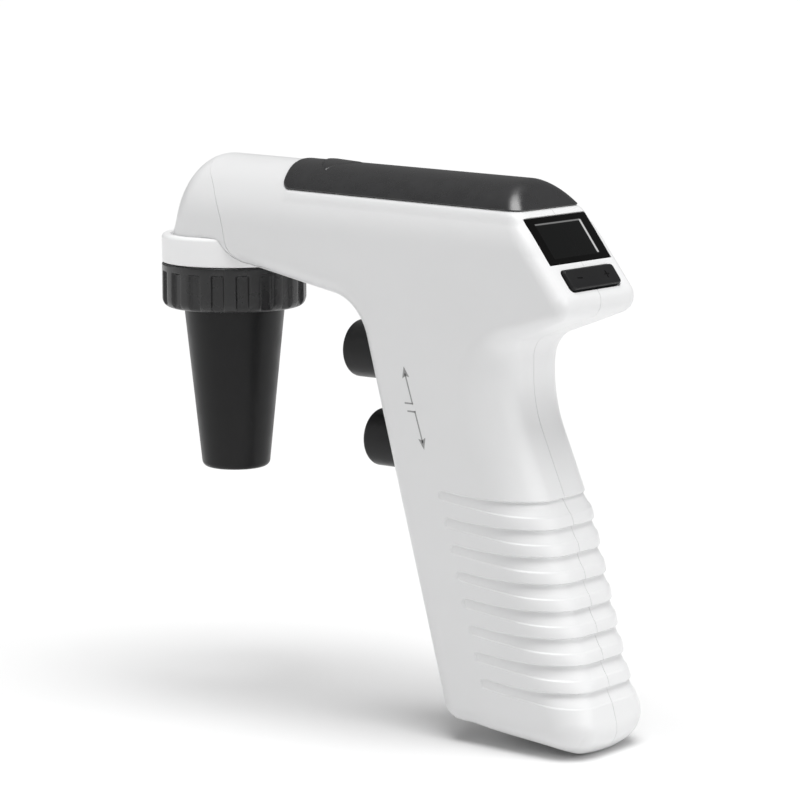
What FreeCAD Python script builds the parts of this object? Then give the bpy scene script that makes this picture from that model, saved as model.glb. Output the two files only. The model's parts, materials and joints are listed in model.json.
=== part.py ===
"""Motorized pipette controller, as an assembly of separate pieces.

Millimetres. The origin is the centre of the pipette socket's mouth, at the nose cone's lower end.
+Z runs up the nose axis, +X to the rear (display and handle), and -Y is the user's left side.
"""
import FreeCAD, Part
import os
from math import atan2, cos, pi, sin, tan

import Sketcher
from FreeCAD import Placement, Rotation, Vector

X_AXIS = Vector(1, 0, 0)
Y_AXIS = Vector(0, 1, 0)
Z_AXIS = Vector(0, 0, 1)

doc = FreeCAD.newDocument("pipette_controller")
sheet = doc.addObject("Spreadsheet::Sheet", "Params")

DIMENSIONS = {
    # casing: sections
    "half_width": 16.75,
    "wall": 2.2,
    "arch_axis_z": 67.75,
    "arch_fall": 1.3,
    "dome_floor_z": 57.0,
    "split_gap": 0.05,
    "seam_gap": 0.1,
    # casing: side outline, as the corners where its straight stretches meet
    "nose_end_x": -30.0,
    "nose_end_z": 65.15,
    "throat_x": 54.4,
    "throat_z": 49.5,
    "toe_x": 82.6,
    "toe_z": -53.4,
    "heel_x": 128.0,
    "heel_z": -60.3,
    "palm_x": 111.7,
    "palm_z": -1.1,
    "waist_x": 99.9,
    "waist_low_z": 26.1,
    "waist_top_z": 42.3,
    "lobe_x": 122.8,
    "lobe_z": 51.5,
    "face_top_x": 88.4,
    "roof_z": 97.35,
    # casing: roundings of those corners, in the side view
    "throat_round": 14.0,
    "toe_round": 4.0,
    "heel_round": 5.4,
    "palm_round": 60.0,
    "waist_low_round": 36.0,
    "waist_top_round": 6.0,
    "lobe_round": 4.4,
    # casing: roundings of the long edges
    "front_rim": 6.0,
    "palm_rim": 11.0,
    "lobe_rim": 3.9,
    # seam of the front cap, from the top down
    "seam_top_x": -3.6,
    "seam_top_z": 90.0,
    "seam_brow_x": 9.0,
    "seam_brow_z": 75.9,
    "seam_cheek_x": 12.2,
    "seam_cheek_z": 59.4,
    "seam_chin_x": 24.5,
    "seam_chin_z": 56.4,
    # grip grooves
    "groove_count": 8,
    "groove_pitch": 6.6,
    "groove_shift": 1.9,
    "groove_width": 2.2,
    "groove_depth": 1.0,
    "groove_fall": 6.0,
    "groove_top_x": 84.0,
    "groove_top_z": 3.5,
    # rear face: a plane through (face_x, face_z) that leans forward to the top
    "face_x": 106.1,
    "face_z": 73.75,
    "face_turn": 53.13,
    # nose
    "collar_radius": 19.25,
    "collar_top_z": 63.2,
    "collar_floor_z": 55.6,
    "spigot_radius": 14.0,
    "spigot_floor_z": 49.2,
    "spigot_bore": 6.2,
    "nut_radius": 19.3,
    "nut_top_z": 55.4,
    "nut_floor_z": 43.5,
    "nut_bore": 14.3,
    "nut_lip_z": 46.5,
    "nut_lip_bore": 13.8,
    "nut_rim": 2.4,
    "slot_count": 18,
    "slot_width": 3.2,
    "slot_depth": 0.7,
    "slot_top_z": 53.3,
    "slot_turn": 18.4,
    "cone_top_radius": 13.5,
    "cone_foot_radius": 9.2,
    "cone_neck_z": 43.4,
    "flange_radius": 14.1,
    "flange_floor_z": 46.6,
    "flange_top_z": 48.9,
    "chamber_radius": 9.6,
    "chamber_floor_z": 20.0,
    "holder_radius": 7.3,
    "holder_lip_radius": 6.5,
    "socket_radius": 5.0,
    "socket_length": 14.0,
    # triggers
    "button_radius": 7.5,
    "button_gap": 0.3,
    "button_flange": 1.2,
    "flange_overhang": 1.1,
    "upper_x": 43.4,
    "upper_z": 35.8,
    "upper_length": 21.3,
    "lower_x": 50.2,
    "lower_z": 13.1,
    "lower_length": 20.6,
    "spring_pocket": 8.0,
    "spring_pocket_radius": 4.3,
    "spring_radius": 3.3,
    "spring_wire": 0.35,
    "spring_turns": 6,
    "stretches_per_turn": 10,
    "stem_radius": 1.6,
    "stem_gap": 0.05,
    "stem_end_x": 81.4,
    # valve block
    "valve_x": 76.0,
    "valve_depth": 10.0,
    "valve_half_width": 6.0,
    "valve_floor_z": 5.0,
    "valve_height": 40.0,
    "valve_bore_length": 9.6,
    "seal_seat_radius": 2.8,
    "seal_seat_depth": 2.2,
    "seal_radius": 2.2,
    "seal_wire": 0.55,
    "port_radius": 1.0,
    # battery bay and cover
    "cover_half_width": 15.0,
    "cover_front_x": 28.6,
    "cover_bow_x": 54.2,
    "cover_bow_radius": 28.9,
    "cover_edge_drop": 10.1,
    "cover_wall": 1.6,
    "cover_gap": 0.15,
    "bay_half_width": 10.2,
    "bay_front_x": 30.2,
    "bay_length": 69.6,
    "ridge_x": 33.0,
    "ridge_length": 11.5,
    "ridge_height": 0.45,
    "ridge_width": 10.0,
    "tray_floor_z": 60.0,
    "tray_height": 9.0,
    "tray_wall": 1.1,
    "tray_gap": 0.2,
    "cell_radius": 9.1,
    "cell_length": 64.0,
    "cell_x": 33.2,
    "cell_z": 70.4,
    "contact_width": 12.0,
    "contact_thickness": 0.4,
    # display and rocker: distances down the rear face, depths below it
    "display_half_width": 12.7,
    "display_length": 13.5,
    "display_depth": 1.2,
    "fit_gap": 0.1,
    "module_thickness": 2.4,
    "board_depth": 5.6,
    "board_thickness": 1.6,
    "rocker_start": 15.6,
    "rocker_length": 5.6,
    "rocker_half_width": 10.2,
    "rocker_height": 1.0,
    "rocker_root": 1.2,
    "rocker_gap": 0.45,
    "key_size": 4.6,
    "key_height": 1.7,
    "key_offset": 7.0,
    # pump, in its own tilted frame: heights above the motor's foot
    "pump_x": 101.4,
    "pump_z": -36.0,
    "pump_tilt": 16.0,
    "motor_radius": 10.5,
    "motor_length": 22.0,
    "shaft_radius": 1.0,
    "shaft_gap": 0.06,
    "shaft_floor": 15.0,
    "shaft_length": 14.5,
    "pump_width": 21.0,
    "pump_floor": 22.1,
    "pump_height": 11.0,
    "pump_chamber": 6.6,
    "cam_radius": 4.0,
    "cam_throw": 0.9,
    "cam_floor": 25.5,
    "cam_height": 3.0,
    "diaphragm_floor": 33.15,
    "diaphragm_thickness": 1.0,
    "head_floor": 34.2,
    "head_height": 5.6,
    "cradle_radius": 12.0,
    "cradle_floor": 6.0,
    "cradle_height": 9.0,
    "cradle_half_width": 14.3,
    "tube_radius": 1.5,
    "tube_bore": 0.75,
    "tube_bend": 4.5,
    # main board
    "main_x": 70.0,
    "main_z": 8.0,
    "main_length": 24.0,
    "main_height": 44.0,
    "main_y": 10.0,
    "trigger_switch_depth": 3.2,
    "trigger_switch_width": 4.0,
    "trigger_switch_height": 5.6,
    "wire_radius": 0.6,
    # fasteners and charging socket
    "screw_radius": 1.2,
    "screw_head_radius": 2.3,
    "screw_head_height": 1.8,
    "screw_head_y": 13.4,
    "screw_length": 22.0,
    "boss_radius": 2.6,
    "hole_gap": 0.1,
    "small_screw_radius": 0.9,
    "small_screw_length": 3.6,
    "jack_x": 103.5,
    "jack_radius": 4.0,
    "jack_bore": 2.75,
    "jack_length": 10.0,
    "jack_bore_length": 8.0,
    "jack_recess": 0.3,
}
for row, (alias, value) in enumerate(DIMENSIONS.items(), start=1):
    sheet.set(f"A{row}", alias)
    sheet.set(f"B{row}", str(value))
    sheet.setAlias(f"B{row}", alias)
doc.recompute()

# Screw places on the split plane, (x, z); the heads are on the right side.
SHELL_SCREWS = [(22.0, 72.0), (66.4, 24.4), (105.6, 51.4), (85.0, -43.0), (114.0, -46.5)]
# Screws of the main board, (x, z).
BOARD_SCREWS = [(72.5, 26.0), (91.5, 11.0), (91.5, 49.0)]


def size(alias):
    """A driving dimension, read back from the sheet."""
    return float(sheet.get(alias))


def cell(alias):
    """The expression that names a sheet cell."""
    return "Params." + alias


# ------------------------------------------------------------------ document helpers

def bind(item, **aliases):
    """Bind properties of an object to expressions of sheet cells."""
    for name, expression in aliases.items():
        item.setExpression(name, expression)
    return item


def cylinder(label, radius, length, base, direction=Z_AXIS):
    item = doc.addObject("Part::Cylinder", label)
    bind(item, Radius=radius, Height=length)
    item.Placement = Placement(Vector(*base), Rotation(Z_AXIS, Vector(*direction)))
    return item


def block(label, length, width, height, corner, frame=Placement()):
    """A box whose extents are expressions, from its lowest corner in a frame."""
    item = doc.addObject("Part::Box", label)
    bind(item, Length=length, Width=width, Height=height)
    item.Placement = frame.multiply(Placement(Vector(*corner), Rotation()))
    return item


def torus(label, radius, wire, centre, direction=Z_AXIS):
    item = doc.addObject("Part::Torus", label)
    bind(item, Radius1=radius, Radius2=wire)
    item.Placement = Placement(Vector(*centre), Rotation(Z_AXIS, Vector(*direction)))
    return item


def fuse(label, *shapes):
    item = doc.addObject("Part::MultiFuse", label)
    item.Shapes = list(shapes)
    return item


def cut(label, base, *tools):
    item = doc.addObject("Part::Cut", label)
    item.Base = base
    item.Tool = tools[0] if len(tools) == 1 else fuse(label + "_tools", *tools)
    return item


def common(label, *shapes):
    item = doc.addObject("Part::MultiCommon", label)
    item.Shapes = list(shapes)
    return item


def group(label, *shapes):
    """Separate solids that share one node."""
    item = doc.addObject("Part::Compound", label)
    item.Links = list(shapes)
    return item


def made(label, shape):
    """A piece whose shape is worked out in code from the sheet's sizes."""
    item = doc.addObject("Part::Feature", label)
    item.Shape = shape
    return item


def rounded(label, base, radii_of_edge):
    """Round the edges of a base for which radii_of_edge gives a radius at each end."""
    doc.recompute()
    item = doc.addObject("Part::Fillet", label)
    item.Base = base
    numbered = [(number, radii_of_edge(edge)) for number, edge in enumerate(base.Shape.Edges, start=1)]
    item.Edges = [(number, *radii) for number, radii in numbered if radii]
    return item


def value_of(ordinate):
    """The value of an ordinate, which is a number or an expression of sheet cells."""
    return sheet.evalExpression(ordinate.replace("Params.", "")) if isinstance(ordinate, str) else ordinate


def polygon(sketch, corners):
    """A closed polygon whose corners are bound to their expressions."""
    places = [Vector(value_of(across), value_of(up), 0) for across, up in corners]
    for index, place in enumerate(places):
        sketch.addGeometry(Part.LineSegment(place, places[(index + 1) % len(places)]), False)
    for index in range(len(places)):
        sketch.addConstraint(Sketcher.Constraint("Coincident", index, 2, (index + 1) % len(places), 1))
    for index, corner in enumerate(corners):
        for kind, ordinate in zip(("DistanceX", "DistanceY"), corner):
            number = sketch.addConstraint(Sketcher.Constraint(kind, index, 1, value_of(ordinate)))
            if isinstance(ordinate, str):
                sketch.setExpression(f"Constraints[{number}]", ordinate)


def body_profile(body, role, corners):
    sketch = body.newObject("Sketcher::SketchObject", body.Name + "_profile")
    plane = next(item for item in body.Origin.OriginFeatures if item.Role == role)
    sketch.AttachmentSupport = [(plane, "")]
    sketch.MapMode = "FlatFace"
    polygon(sketch, corners)
    return sketch


def revolved(label, *corners):
    """A body turned about the nose axis from the corners (r, z) of its section."""
    body = doc.addObject("PartDesign::Body", label)
    sketch = body_profile(body, "XZ_Plane", corners)
    turn = body.newObject("PartDesign::Revolution", label + "_turn")
    turn.Profile = sketch
    turn.ReferenceAxis = (sketch, ["V_Axis"])
    turn.Angle = 360
    body.Tip = turn
    return body


def side_prism(label, length, *corners):
    """A body padded both ways from the corners (x, z) of its side view."""
    body = doc.addObject("PartDesign::Body", label)
    sketch = body_profile(body, "XZ_Plane", corners)
    pad = body.newObject("PartDesign::Pad", label + "_pad")
    pad.Profile = sketch
    pad.Midplane = True
    bind(pad, Length=length)
    body.Tip = pad
    return body


def bent_path(points, bend):
    """Straight runs through the points, joined by tangent arcs of one radius."""
    edges = []
    start = points[0]
    for before, corner, after in zip(points, points[1:], points[2:]):
        inward = (before - corner).normalize()
        outward = (after - corner).normalize()
        half_angle = inward.getAngle(outward) / 2
        tangent = bend / tan(half_angle)
        centre = corner + (inward + outward).normalize() * (bend / sin(half_angle))
        arc_start = corner + inward * tangent
        arc_end = corner + outward * tangent
        arc_middle = centre + (corner - centre).normalize() * bend
        edges.append(Part.LineSegment(start, arc_start).toShape())
        edges.append(Part.Arc(arc_start, arc_middle, arc_end).toShape())
        start = arc_end
    edges.append(Part.LineSegment(start, points[-1]).toShape())
    return Part.Wire(edges)


def swept(points, radius, bend):
    """A round rod along a bent path."""
    path = bent_path([Vector(*point) for point in points], bend)
    circle = Part.makeCircle(radius, Vector(*points[0]), Vector(*points[1]) - Vector(*points[0]))
    return path.makePipeShell([Part.Wire(circle)], True, True)


def coil(radius, wire, length):
    """A coil spring along Z, its wire laid in short straight stretches."""
    stretches = int(size("spring_turns") * size("stretches_per_turn"))
    turn = 2 * pi / size("stretches_per_turn")
    points = [
        Vector(radius * cos(turn * step), radius * sin(turn * step), length * step / stretches)
        for step in range(stretches + 1)
    ]
    section = Part.Wire(Part.makeCircle(wire, points[0], points[1] - points[0]))
    right_corners = 1
    return Part.makePolygon(points).makePipeShell([section], True, False, right_corners)


def hose(label, points):
    bend = size("tube_bend")
    return made(label, swept(points, size("tube_radius"), bend).cut(swept(points, size("tube_bore"), bend)))


# ------------------------------------------------------------------ reference frames

ARCH_FRAME = Placement(Vector(0, 0, size("arch_axis_z")), Rotation(Y_AXIS, size("arch_fall")))
FACE_FRAME = Placement(Vector(size("face_x"), 0, size("face_z")), Rotation(Y_AXIS, size("face_turn")))
PUMP_FRAME = Placement(Vector(size("pump_x"), 0, size("pump_z")), Rotation(Y_AXIS, -size("pump_tilt")))
REACH = 160.0


def along(frame, x=0.0, y=0.0, z=0.0):
    """A point given in a frame, as row coordinates."""
    point = frame.multVec(Vector(x, y, z))
    return (point.x, point.y, point.z)


def turned(frame, direction):
    return frame.Rotation.multVec(direction)


# ------------------------------------------------------------------ casing

OUTLINE = ["nose_end", "throat", "toe", "heel", "palm", "waist_low", "waist_top", "lobe"]
CORNER_X = {"waist_low": "waist_x", "waist_top": "waist_x"}
CONCAVE = {"throat", "waist_low", "waist_top"}


def outline_corner(name):
    return size(CORNER_X.get(name, name + "_x")), size(name + "_z")


def corner_roundings(inset):
    """The side view's rounded corners, as (x, z, radius), for a form set in from the outside."""
    return [
        (*outline_corner(name), size(name + "_round") + (inset if name in CONCAVE else -inset))
        for name in OUTLINE[1:]
    ]


def is_cross_edge(edge):
    return len(edge.Vertexes) == 2 and abs(edge.tangentAt(edge.FirstParameter).y) > 0.99


def rim_radius(point, inset):
    """The rounding of the casing's long edges at a point of the outline."""
    if point.z < size("heel_z") + 22 or point.x < size("waist_x") - 14:
        radius = size("front_rim")
    elif point.z < size("waist_top_z") + 1:
        radius = size("palm_rim")
    else:
        radius = size("lobe_rim")
    return radius - inset


def casing_form(label, inset):
    """The casing's solid form, set in from its outer surface by a distance."""
    half_width = f"{cell('half_width')} - {inset}"
    outline = doc.addObject("Sketcher::SketchObject", label + "_outline")
    outline.Placement = Placement(Vector(), Rotation(X_AXIS, 90))
    corners = [(cell(CORNER_X.get(name, name + "_x")), cell(name + "_z")) for name in OUTLINE]
    corners.append((cell("face_top_x"), cell("roof_z")))
    corners.append((cell("nose_end_x"), cell("roof_z")))
    polygon(outline, corners)
    if inset:
        inner = doc.addObject("Part::Offset2D", label + "_inner")
        inner.Source = outline
        inner.Value = -inset
        inner.Join = "Intersection"
        outline = inner
    prism = doc.addObject("Part::Extrusion", label + "_prism")
    prism.Base = outline
    prism.DirMode = "Custom"
    prism.Dir = Y_AXIS
    prism.Solid = True
    prism.Symmetric = True
    bind(prism, LengthFwd=f"2 * ({half_width})")

    roundings = corner_roundings(inset)

    def corner_radii(edge):
        if not is_cross_edge(edge):
            return None
        place = edge.Vertexes[0].Point
        for x, z, radius in roundings:
            if abs(place.x - x) + abs(place.z - z) < 2.5 * (inset + 0.1):
                return radius, radius
        return None

    profile = rounded(label + "_profile", prism, corner_radii)

    def rim_radii(edge):
        ends = [vertex.Point for vertex in edge.Vertexes]
        on_rim = all(abs(abs(end.y) - value_of(half_width)) < 1e-6 for end in ends)
        level = size("roof_z") - inset - 1
        if not on_rim or is_cross_edge(edge) or all(end.z > level for end in ends):
            return None
        if all(end.x < size("nose_end_x") + inset + 1 for end in ends):
            return None
        return rim_radius(ends[0], inset), rim_radius(ends[-1], inset)

    soft = rounded(label + "_soft", profile, rim_radii)
    arch_start = along(ARCH_FRAME)
    fall = turned(ARCH_FRAME, X_AXIS)
    tunnel = cylinder(label + "_tunnel", half_width, f"{REACH}", arch_start, fall)
    legs = block(label + "_legs", f"{REACH}", f"2 * ({half_width})", f"{REACH}",
                 (0, -value_of(half_width), -REACH), ARCH_FRAME)
    barrel = common(label + "_barrel", soft, fuse(label + "_arch", tunnel, legs))
    dome = doc.addObject("Part::Sphere", label + "_dome")
    dome.Angle1 = 0
    bind(dome, Radius=half_width)
    dome.Placement = Placement(Vector(*arch_start), Rotation())
    floor = size("dome_floor_z") - inset
    drum = cylinder(label + "_drum", half_width, f"{cell('arch_axis_z')} - {floor}", (0, 0, floor))
    return fuse(label, barrel, dome, drum)


def front_region(label, shift):
    """Everything forward of the cap's seam, with the seam moved back by a distance."""
    corners = [("seam_top_x", "seam_top_z"), ("seam_brow_x", "seam_brow_z"),
               ("seam_cheek_x", "seam_cheek_z"), ("seam_chin_x", "seam_chin_z")]
    bound = [(f"{cell(x)} + {shift}", cell(z)) for x, z in corners]
    chin_x = bound[-1][0]
    bound.append((chin_x, f"{cell('seam_chin_z')} - 12"))
    bound.append((f"-2 * {cell('half_width')}", f"{cell('seam_chin_z')} - 12"))
    bound.append((f"-2 * {cell('half_width')}", cell("seam_top_z")))
    return side_prism(label, f"4 * {cell('half_width')}", *bound)


def cover_region(label, gap):
    """The space of the battery cover, open to the rear, with a bowed front; its floor falls with the arch."""
    half_width = f"{cell('cover_half_width')} - {gap}"
    floor = size("cover_edge_drop") + gap
    corner = (size("cover_front_x") + gap, -size("cover_half_width") + gap, floor)
    straight = block(label + "_straight", f"{REACH}", f"2 * ({half_width})", "40", corner, ARCH_FRAME)
    bow = cylinder(label + "_bow", f"{cell('cover_bow_radius')} - {gap}", "40",
                   along(ARCH_FRAME, x=size("cover_bow_x"), z=floor), turned(ARCH_FRAME, Z_AXIS))
    return fuse(label, straight, bow)


def grip_grooves(core):
    """Shallow rings round the grip's sides and rear, as the band between the core and the outside."""
    bands = []
    for number in range(int(size("groove_count"))):
        x = size("groove_top_x") + number * size("groove_shift")
        z = size("groove_top_z") - number * size("groove_pitch")
        frame = Placement(Vector(x, 0, z), Rotation(Y_AXIS, size("groove_fall")))
        radius = f"{cell('groove_width')} / 2"
        bands.append(cylinder(f"groove_end_{number}", radius, "60", along(frame, y=-30), Y_AXIS))
        bands.append(block(f"groove_band_{number}", "70", "60", cell("groove_width"),
                           (0, -30, -size("groove_width") / 2), frame))
    return cut("grooves", fuse("groove_bands", *bands), core)


def window(label, start, length, half_width, above, below, gap):
    """A cutter through the rear face, from a distance down it."""
    return block(label, f"{cell(length)} + 2 * {gap}", f"2 * ({cell(half_width)} + {gap})",
                 f"{above + below}", (start - gap, -size(half_width) - gap, -below), FACE_FRAME)


def button_axis(prefix):
    return size(prefix + "_x"), size(prefix + "_z")


def foot_frame():
    """At the jack's mouth on the underside of the foot, with Z pointing out of the handle."""
    slope = atan2(size("toe_z") - size("heel_z"), size("heel_x") - size("toe_x"))
    z = size("toe_z") - (size("jack_x") - size("toe_x")) * tan(slope)
    outward = Vector(-sin(slope), 0, -cos(slope))
    return Placement(Vector(size("jack_x"), 0, z), Rotation(Z_AXIS, outward))


def make_casing():
    """The two shells and the front cap, hollowed, with every opening."""
    form = casing_form("casing", 0.0)
    cavity = casing_form("cavity", size("wall"))
    core = casing_form("core", size("groove_depth"))
    doc.recompute()

    openings = [grip_grooves(core), cover_region("cover_opening", 0.0)]
    bay = (size("bay_front_x"), -size("bay_half_width"), -4.0)
    openings.append(block("bay_opening", cell("bay_length"), f"2 * {cell('bay_half_width')}", "30", bay,
                          Placement(Vector(0, 0, size("arch_axis_z")), Rotation())))
    openings.append(window("display_opening", 0.0, "display_length", "display_half_width",
                           5, 6, size("fit_gap")))
    openings.append(window("rocker_opening", size("rocker_start"), "rocker_length", "rocker_half_width",
                           5, 6, size("rocker_gap")))
    for prefix in ("upper", "lower"):
        x, z = button_axis(prefix)
        openings.append(cylinder(prefix + "_button_hole", f"{cell('button_radius')} + {cell('button_gap')}",
                                 "24", (x, 0, z), X_AXIS))
    openings.append(cylinder("jack_opening", f"{cell('jack_radius')} + {cell('fit_gap')}", "8",
                             along(foot_frame(), z=-5), turned(foot_frame(), Z_AXIS)))
    openings.append(cylinder("nose_opening", f"{cell('half_width')} - {cell('wall')}", "8",
                             (0, 0, size("dome_floor_z") - 4)))

    bosses = []
    for number, (x, z) in enumerate(SHELL_SCREWS):
        bosses.append(cylinder(f"boss_{number}", cell("boss_radius"), f"2 * {cell('half_width')}",
                               (x, -size("half_width"), z), Y_AXIS))
    bosses_inside = common("bosses_inside", fuse("bosses", *bosses), form)
    hollow = cut("hollow_casing", form, cavity)
    casing = cut("open_casing", fuse("bossed_casing", hollow, bosses_inside), *openings)

    front = front_region("cap_region", -size("seam_gap"))
    common("front_cap", casing, front)
    rear = cut("rear_casing", casing, front_region("shell_front", 0.0))

    pilot_holes = []
    head_holes = []
    for number, (x, z) in enumerate(SHELL_SCREWS):
        start = (x, size("screw_head_y") - size("screw_length") - 1, z)
        pilot_holes.append(cylinder(f"pilot_{number}", f"{cell('screw_radius')} + {cell('hole_gap')}", "40",
                                    start, Y_AXIS))
        head_radius = f"{cell('screw_head_radius')} + {cell('fit_gap')}"
        head_holes.append(cylinder(f"counterbore_{number}", head_radius, "10",
                                   (x, size("screw_head_y"), z), Y_AXIS))
    for label, side, holes in (("left_shell", -1, pilot_holes), ("right_shell", 1, pilot_holes + head_holes)):
        corner = (-40, size("split_gap") if side > 0 else -40 - size("split_gap"), -80)
        half_space = block(label + "_side", "200", "40", "200", corner)
        cut(label, common(label + "_blank", rear, half_space), *holes)
    return form, cavity


# ------------------------------------------------------------------ nose

def make_collar_ring(form):
    spigot, collar = cell("spigot_radius"), cell("collar_radius")
    floor, top = cell("collar_floor_z"), cell("collar_top_z")
    blank = revolved(
        "collar_blank",
        (cell("spigot_bore"), cell("spigot_floor_z")), (spigot, cell("spigot_floor_z")), (spigot, floor),
        (collar, floor), (collar, f"{top} - 1.2"), (f"{collar} - 1.0", top), (cell("spigot_bore"), top),
    )
    cut("collar_ring", blank, form)


def make_ring_nut():
    blank = revolved(
        "nut_blank",
        (cell("nut_lip_bore"), cell("nut_floor_z")), (cell("nut_radius"), cell("nut_floor_z")),
        (cell("nut_radius"), cell("nut_top_z")), (cell("nut_bore"), cell("nut_top_z")),
        (cell("nut_bore"), cell("nut_lip_z")), (cell("nut_lip_bore"), cell("nut_lip_z")),
    )

    def lower_rim(edge):
        box = edge.BoundBox
        is_rim = box.ZMax < size("nut_floor_z") + 0.01 and box.XLength > 2 * size("nut_radius") - 0.1
        return (size("nut_rim"), size("nut_rim")) if is_rim else None

    blank = rounded("nut_rounded", blank, lower_rim)
    slots = []
    count = int(size("slot_count"))
    for number in range(count):
        frame = Placement(Vector(), Rotation(Z_AXIS, size("slot_turn") + 360.0 * number / count))
        corner = (size("nut_radius") - size("slot_depth"), -size("slot_width") / 2, size("nut_floor_z") - 1)
        slots.append(block(f"nut_slot_{number}", "4", cell("slot_width"),
                           f"{cell('slot_top_z')} - {cell('nut_floor_z')} + 1", corner, frame))
    cut("ring_nut", blank, *slots)


def make_nose_cone():
    chamber, holder = cell("chamber_radius"), f"{cell('holder_radius')} + {cell('fit_gap')}"
    lip, foot = f"{cell('holder_lip_radius')} + {cell('fit_gap')}", cell("cone_foot_radius")
    flange, top = cell("flange_radius"), cell("flange_top_z")
    seat_inner, seat_outer, seat_floor = f"{flange} - 3.2", f"{flange} - 1.2", f"{top} - 1.1"
    revolved(
        "nose_cone",
        (lip, "0"), (f"{foot} - 1.4", "0"), (f"{foot} - 0.4", "0.4"), (foot, "1.8"),
        (cell("cone_top_radius"), cell("cone_neck_z")), (cell("cone_top_radius"), cell("flange_floor_z")),
        (flange, cell("flange_floor_z")), (flange, top), (seat_outer, top), (seat_outer, seat_floor),
        (seat_inner, seat_floor), (seat_inner, top), (chamber, top), (chamber, cell("chamber_floor_z")),
        (holder, cell("chamber_floor_z")), (holder, "1.5"), (lip, "1.5"),
    )
    torus("nose_o_ring", f"{flange} - 2.2", "0.6", (0, 0, size("flange_top_z") - 0.45))


def make_pipette_holder():
    bore, top = cell("socket_radius"), f"{cell('chamber_floor_z')} + 1.5"
    outer, lip, length = cell("holder_radius"), cell("holder_lip_radius"), cell("socket_length")
    revolved(
        "pipette_holder",
        (bore, "0"), (lip, "0"), (lip, "1.6"), (outer, "1.6"), (outer, top), ("3.0", top),
        ("3.0", f"{length} + 1.0"), (f"{bore} - 1.0", length), (bore, length),
    )


def make_filter():
    """A flat capsule with a nipple below, a socket above and the membrane across it."""
    nipple, bore = "2.8", "1.2"
    disc, chamber = f"{cell('chamber_radius')} - 0.4", f"{cell('chamber_radius')} - 1.6"
    floor = f"{cell('chamber_floor_z')} + 4"
    roof = f"{floor} + 9"
    revolved(
        "filter_housing",
        (bore, f"{floor} - 8"), (nipple, f"{floor} - 8"), (nipple, floor), (disc, floor), (disc, roof),
        ("4.2", roof), ("4.2", f"{roof} + 8"), ("2.5", f"{roof} + 8"), ("2.5", f"{roof} + 2"),
        (bore, f"{roof} + 2"), (bore, f"{roof} - 2"), (chamber, f"{roof} - 2"),
        (chamber, f"{floor} + 2"), (bore, f"{floor} + 2"),
    )
    cylinder("filter_membrane", f"{chamber} - 0.1", "0.4", (0, 0, size("chamber_floor_z") + 8.3))


def make_nozzle_connector():
    """The hose connector in the collar's spigot, with a barb towards the rear."""
    deck = f"{cell('dome_floor_z')} + 0.05"
    shank = f"{cell('spigot_bore')} - {cell('fit_gap')}"
    stem = revolved(
        "connector_stem",
        ("1.2", "37.5"), ("2.4", "37.5"), ("2.4", "50"), (shank, "50"), (shank, deck),
        ("8.5", deck), ("8.5", f"{deck} + 1.8"), ("3.6", f"{deck} + 1.8"),
        ("3.6", "64"), ("0", "64"), ("0", "62.5"), ("1.2", "62.5"),
    )
    barb = cylinder("connector_barb", f"{cell('tube_radius')} + 0.3", "9.5", (0, 0, AIR_TUBE[0][2]), X_AXIS)
    bore = cylinder("connector_bore", cell("tube_bore"), "12", (0, 0, AIR_TUBE[0][2]), X_AXIS)
    cut("nozzle_connector", fuse("connector_blank", stem, barb), bore)


# ------------------------------------------------------------------ triggers and valves

def make_trigger(prefix, label, stem_label, spring_label):
    """A button with its retaining flange, the valve stem fixed in it and the return spring."""
    x, z = button_axis(prefix)
    rear = x + size(prefix + "_length")
    radius, length = cell("button_radius"), cell(prefix + "_length")
    barrel = cylinder(label + "_barrel", radius, length, (x, 0, z), X_AXIS)

    def front_rim(edge):
        return (1.4, 1.4) if edge.BoundBox.XMax < x + 0.01 else None

    barrel = rounded(label + "_rounded", barrel, front_rim)
    flange = cylinder(label + "_flange", f"{radius} + {cell('flange_overhang')}", cell("button_flange"),
                      (rear - size("button_flange"), 0, z), X_AXIS)
    pocket_start = rear - size("spring_pocket")
    pocket = cylinder(label + "_pocket", cell("spring_pocket_radius"), f"{cell('spring_pocket')} + 1",
                      (pocket_start, 0, z), X_AXIS)
    seat_start = pocket_start - 3.0
    seat = cylinder(label + "_seat", cell("stem_radius"), "6", (seat_start, 0, z), X_AXIS)
    cut(label, fuse(label + "_blank", barrel, flange), pocket, seat)
    cylinder(stem_label, cell("stem_radius"), f"{cell('stem_end_x')} - {seat_start}",
             (seat_start, 0, z), X_AXIS)

    wire, radius = size("spring_wire"), size("spring_radius")
    start = pocket_start + wire + 0.05
    span = size("valve_x") - start - wire - 0.05
    spring = made(spring_label, coil(radius, wire, span))
    spring.Placement = Placement(Vector(start, 0, z), Rotation(Z_AXIS, X_AXIS))


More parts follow.
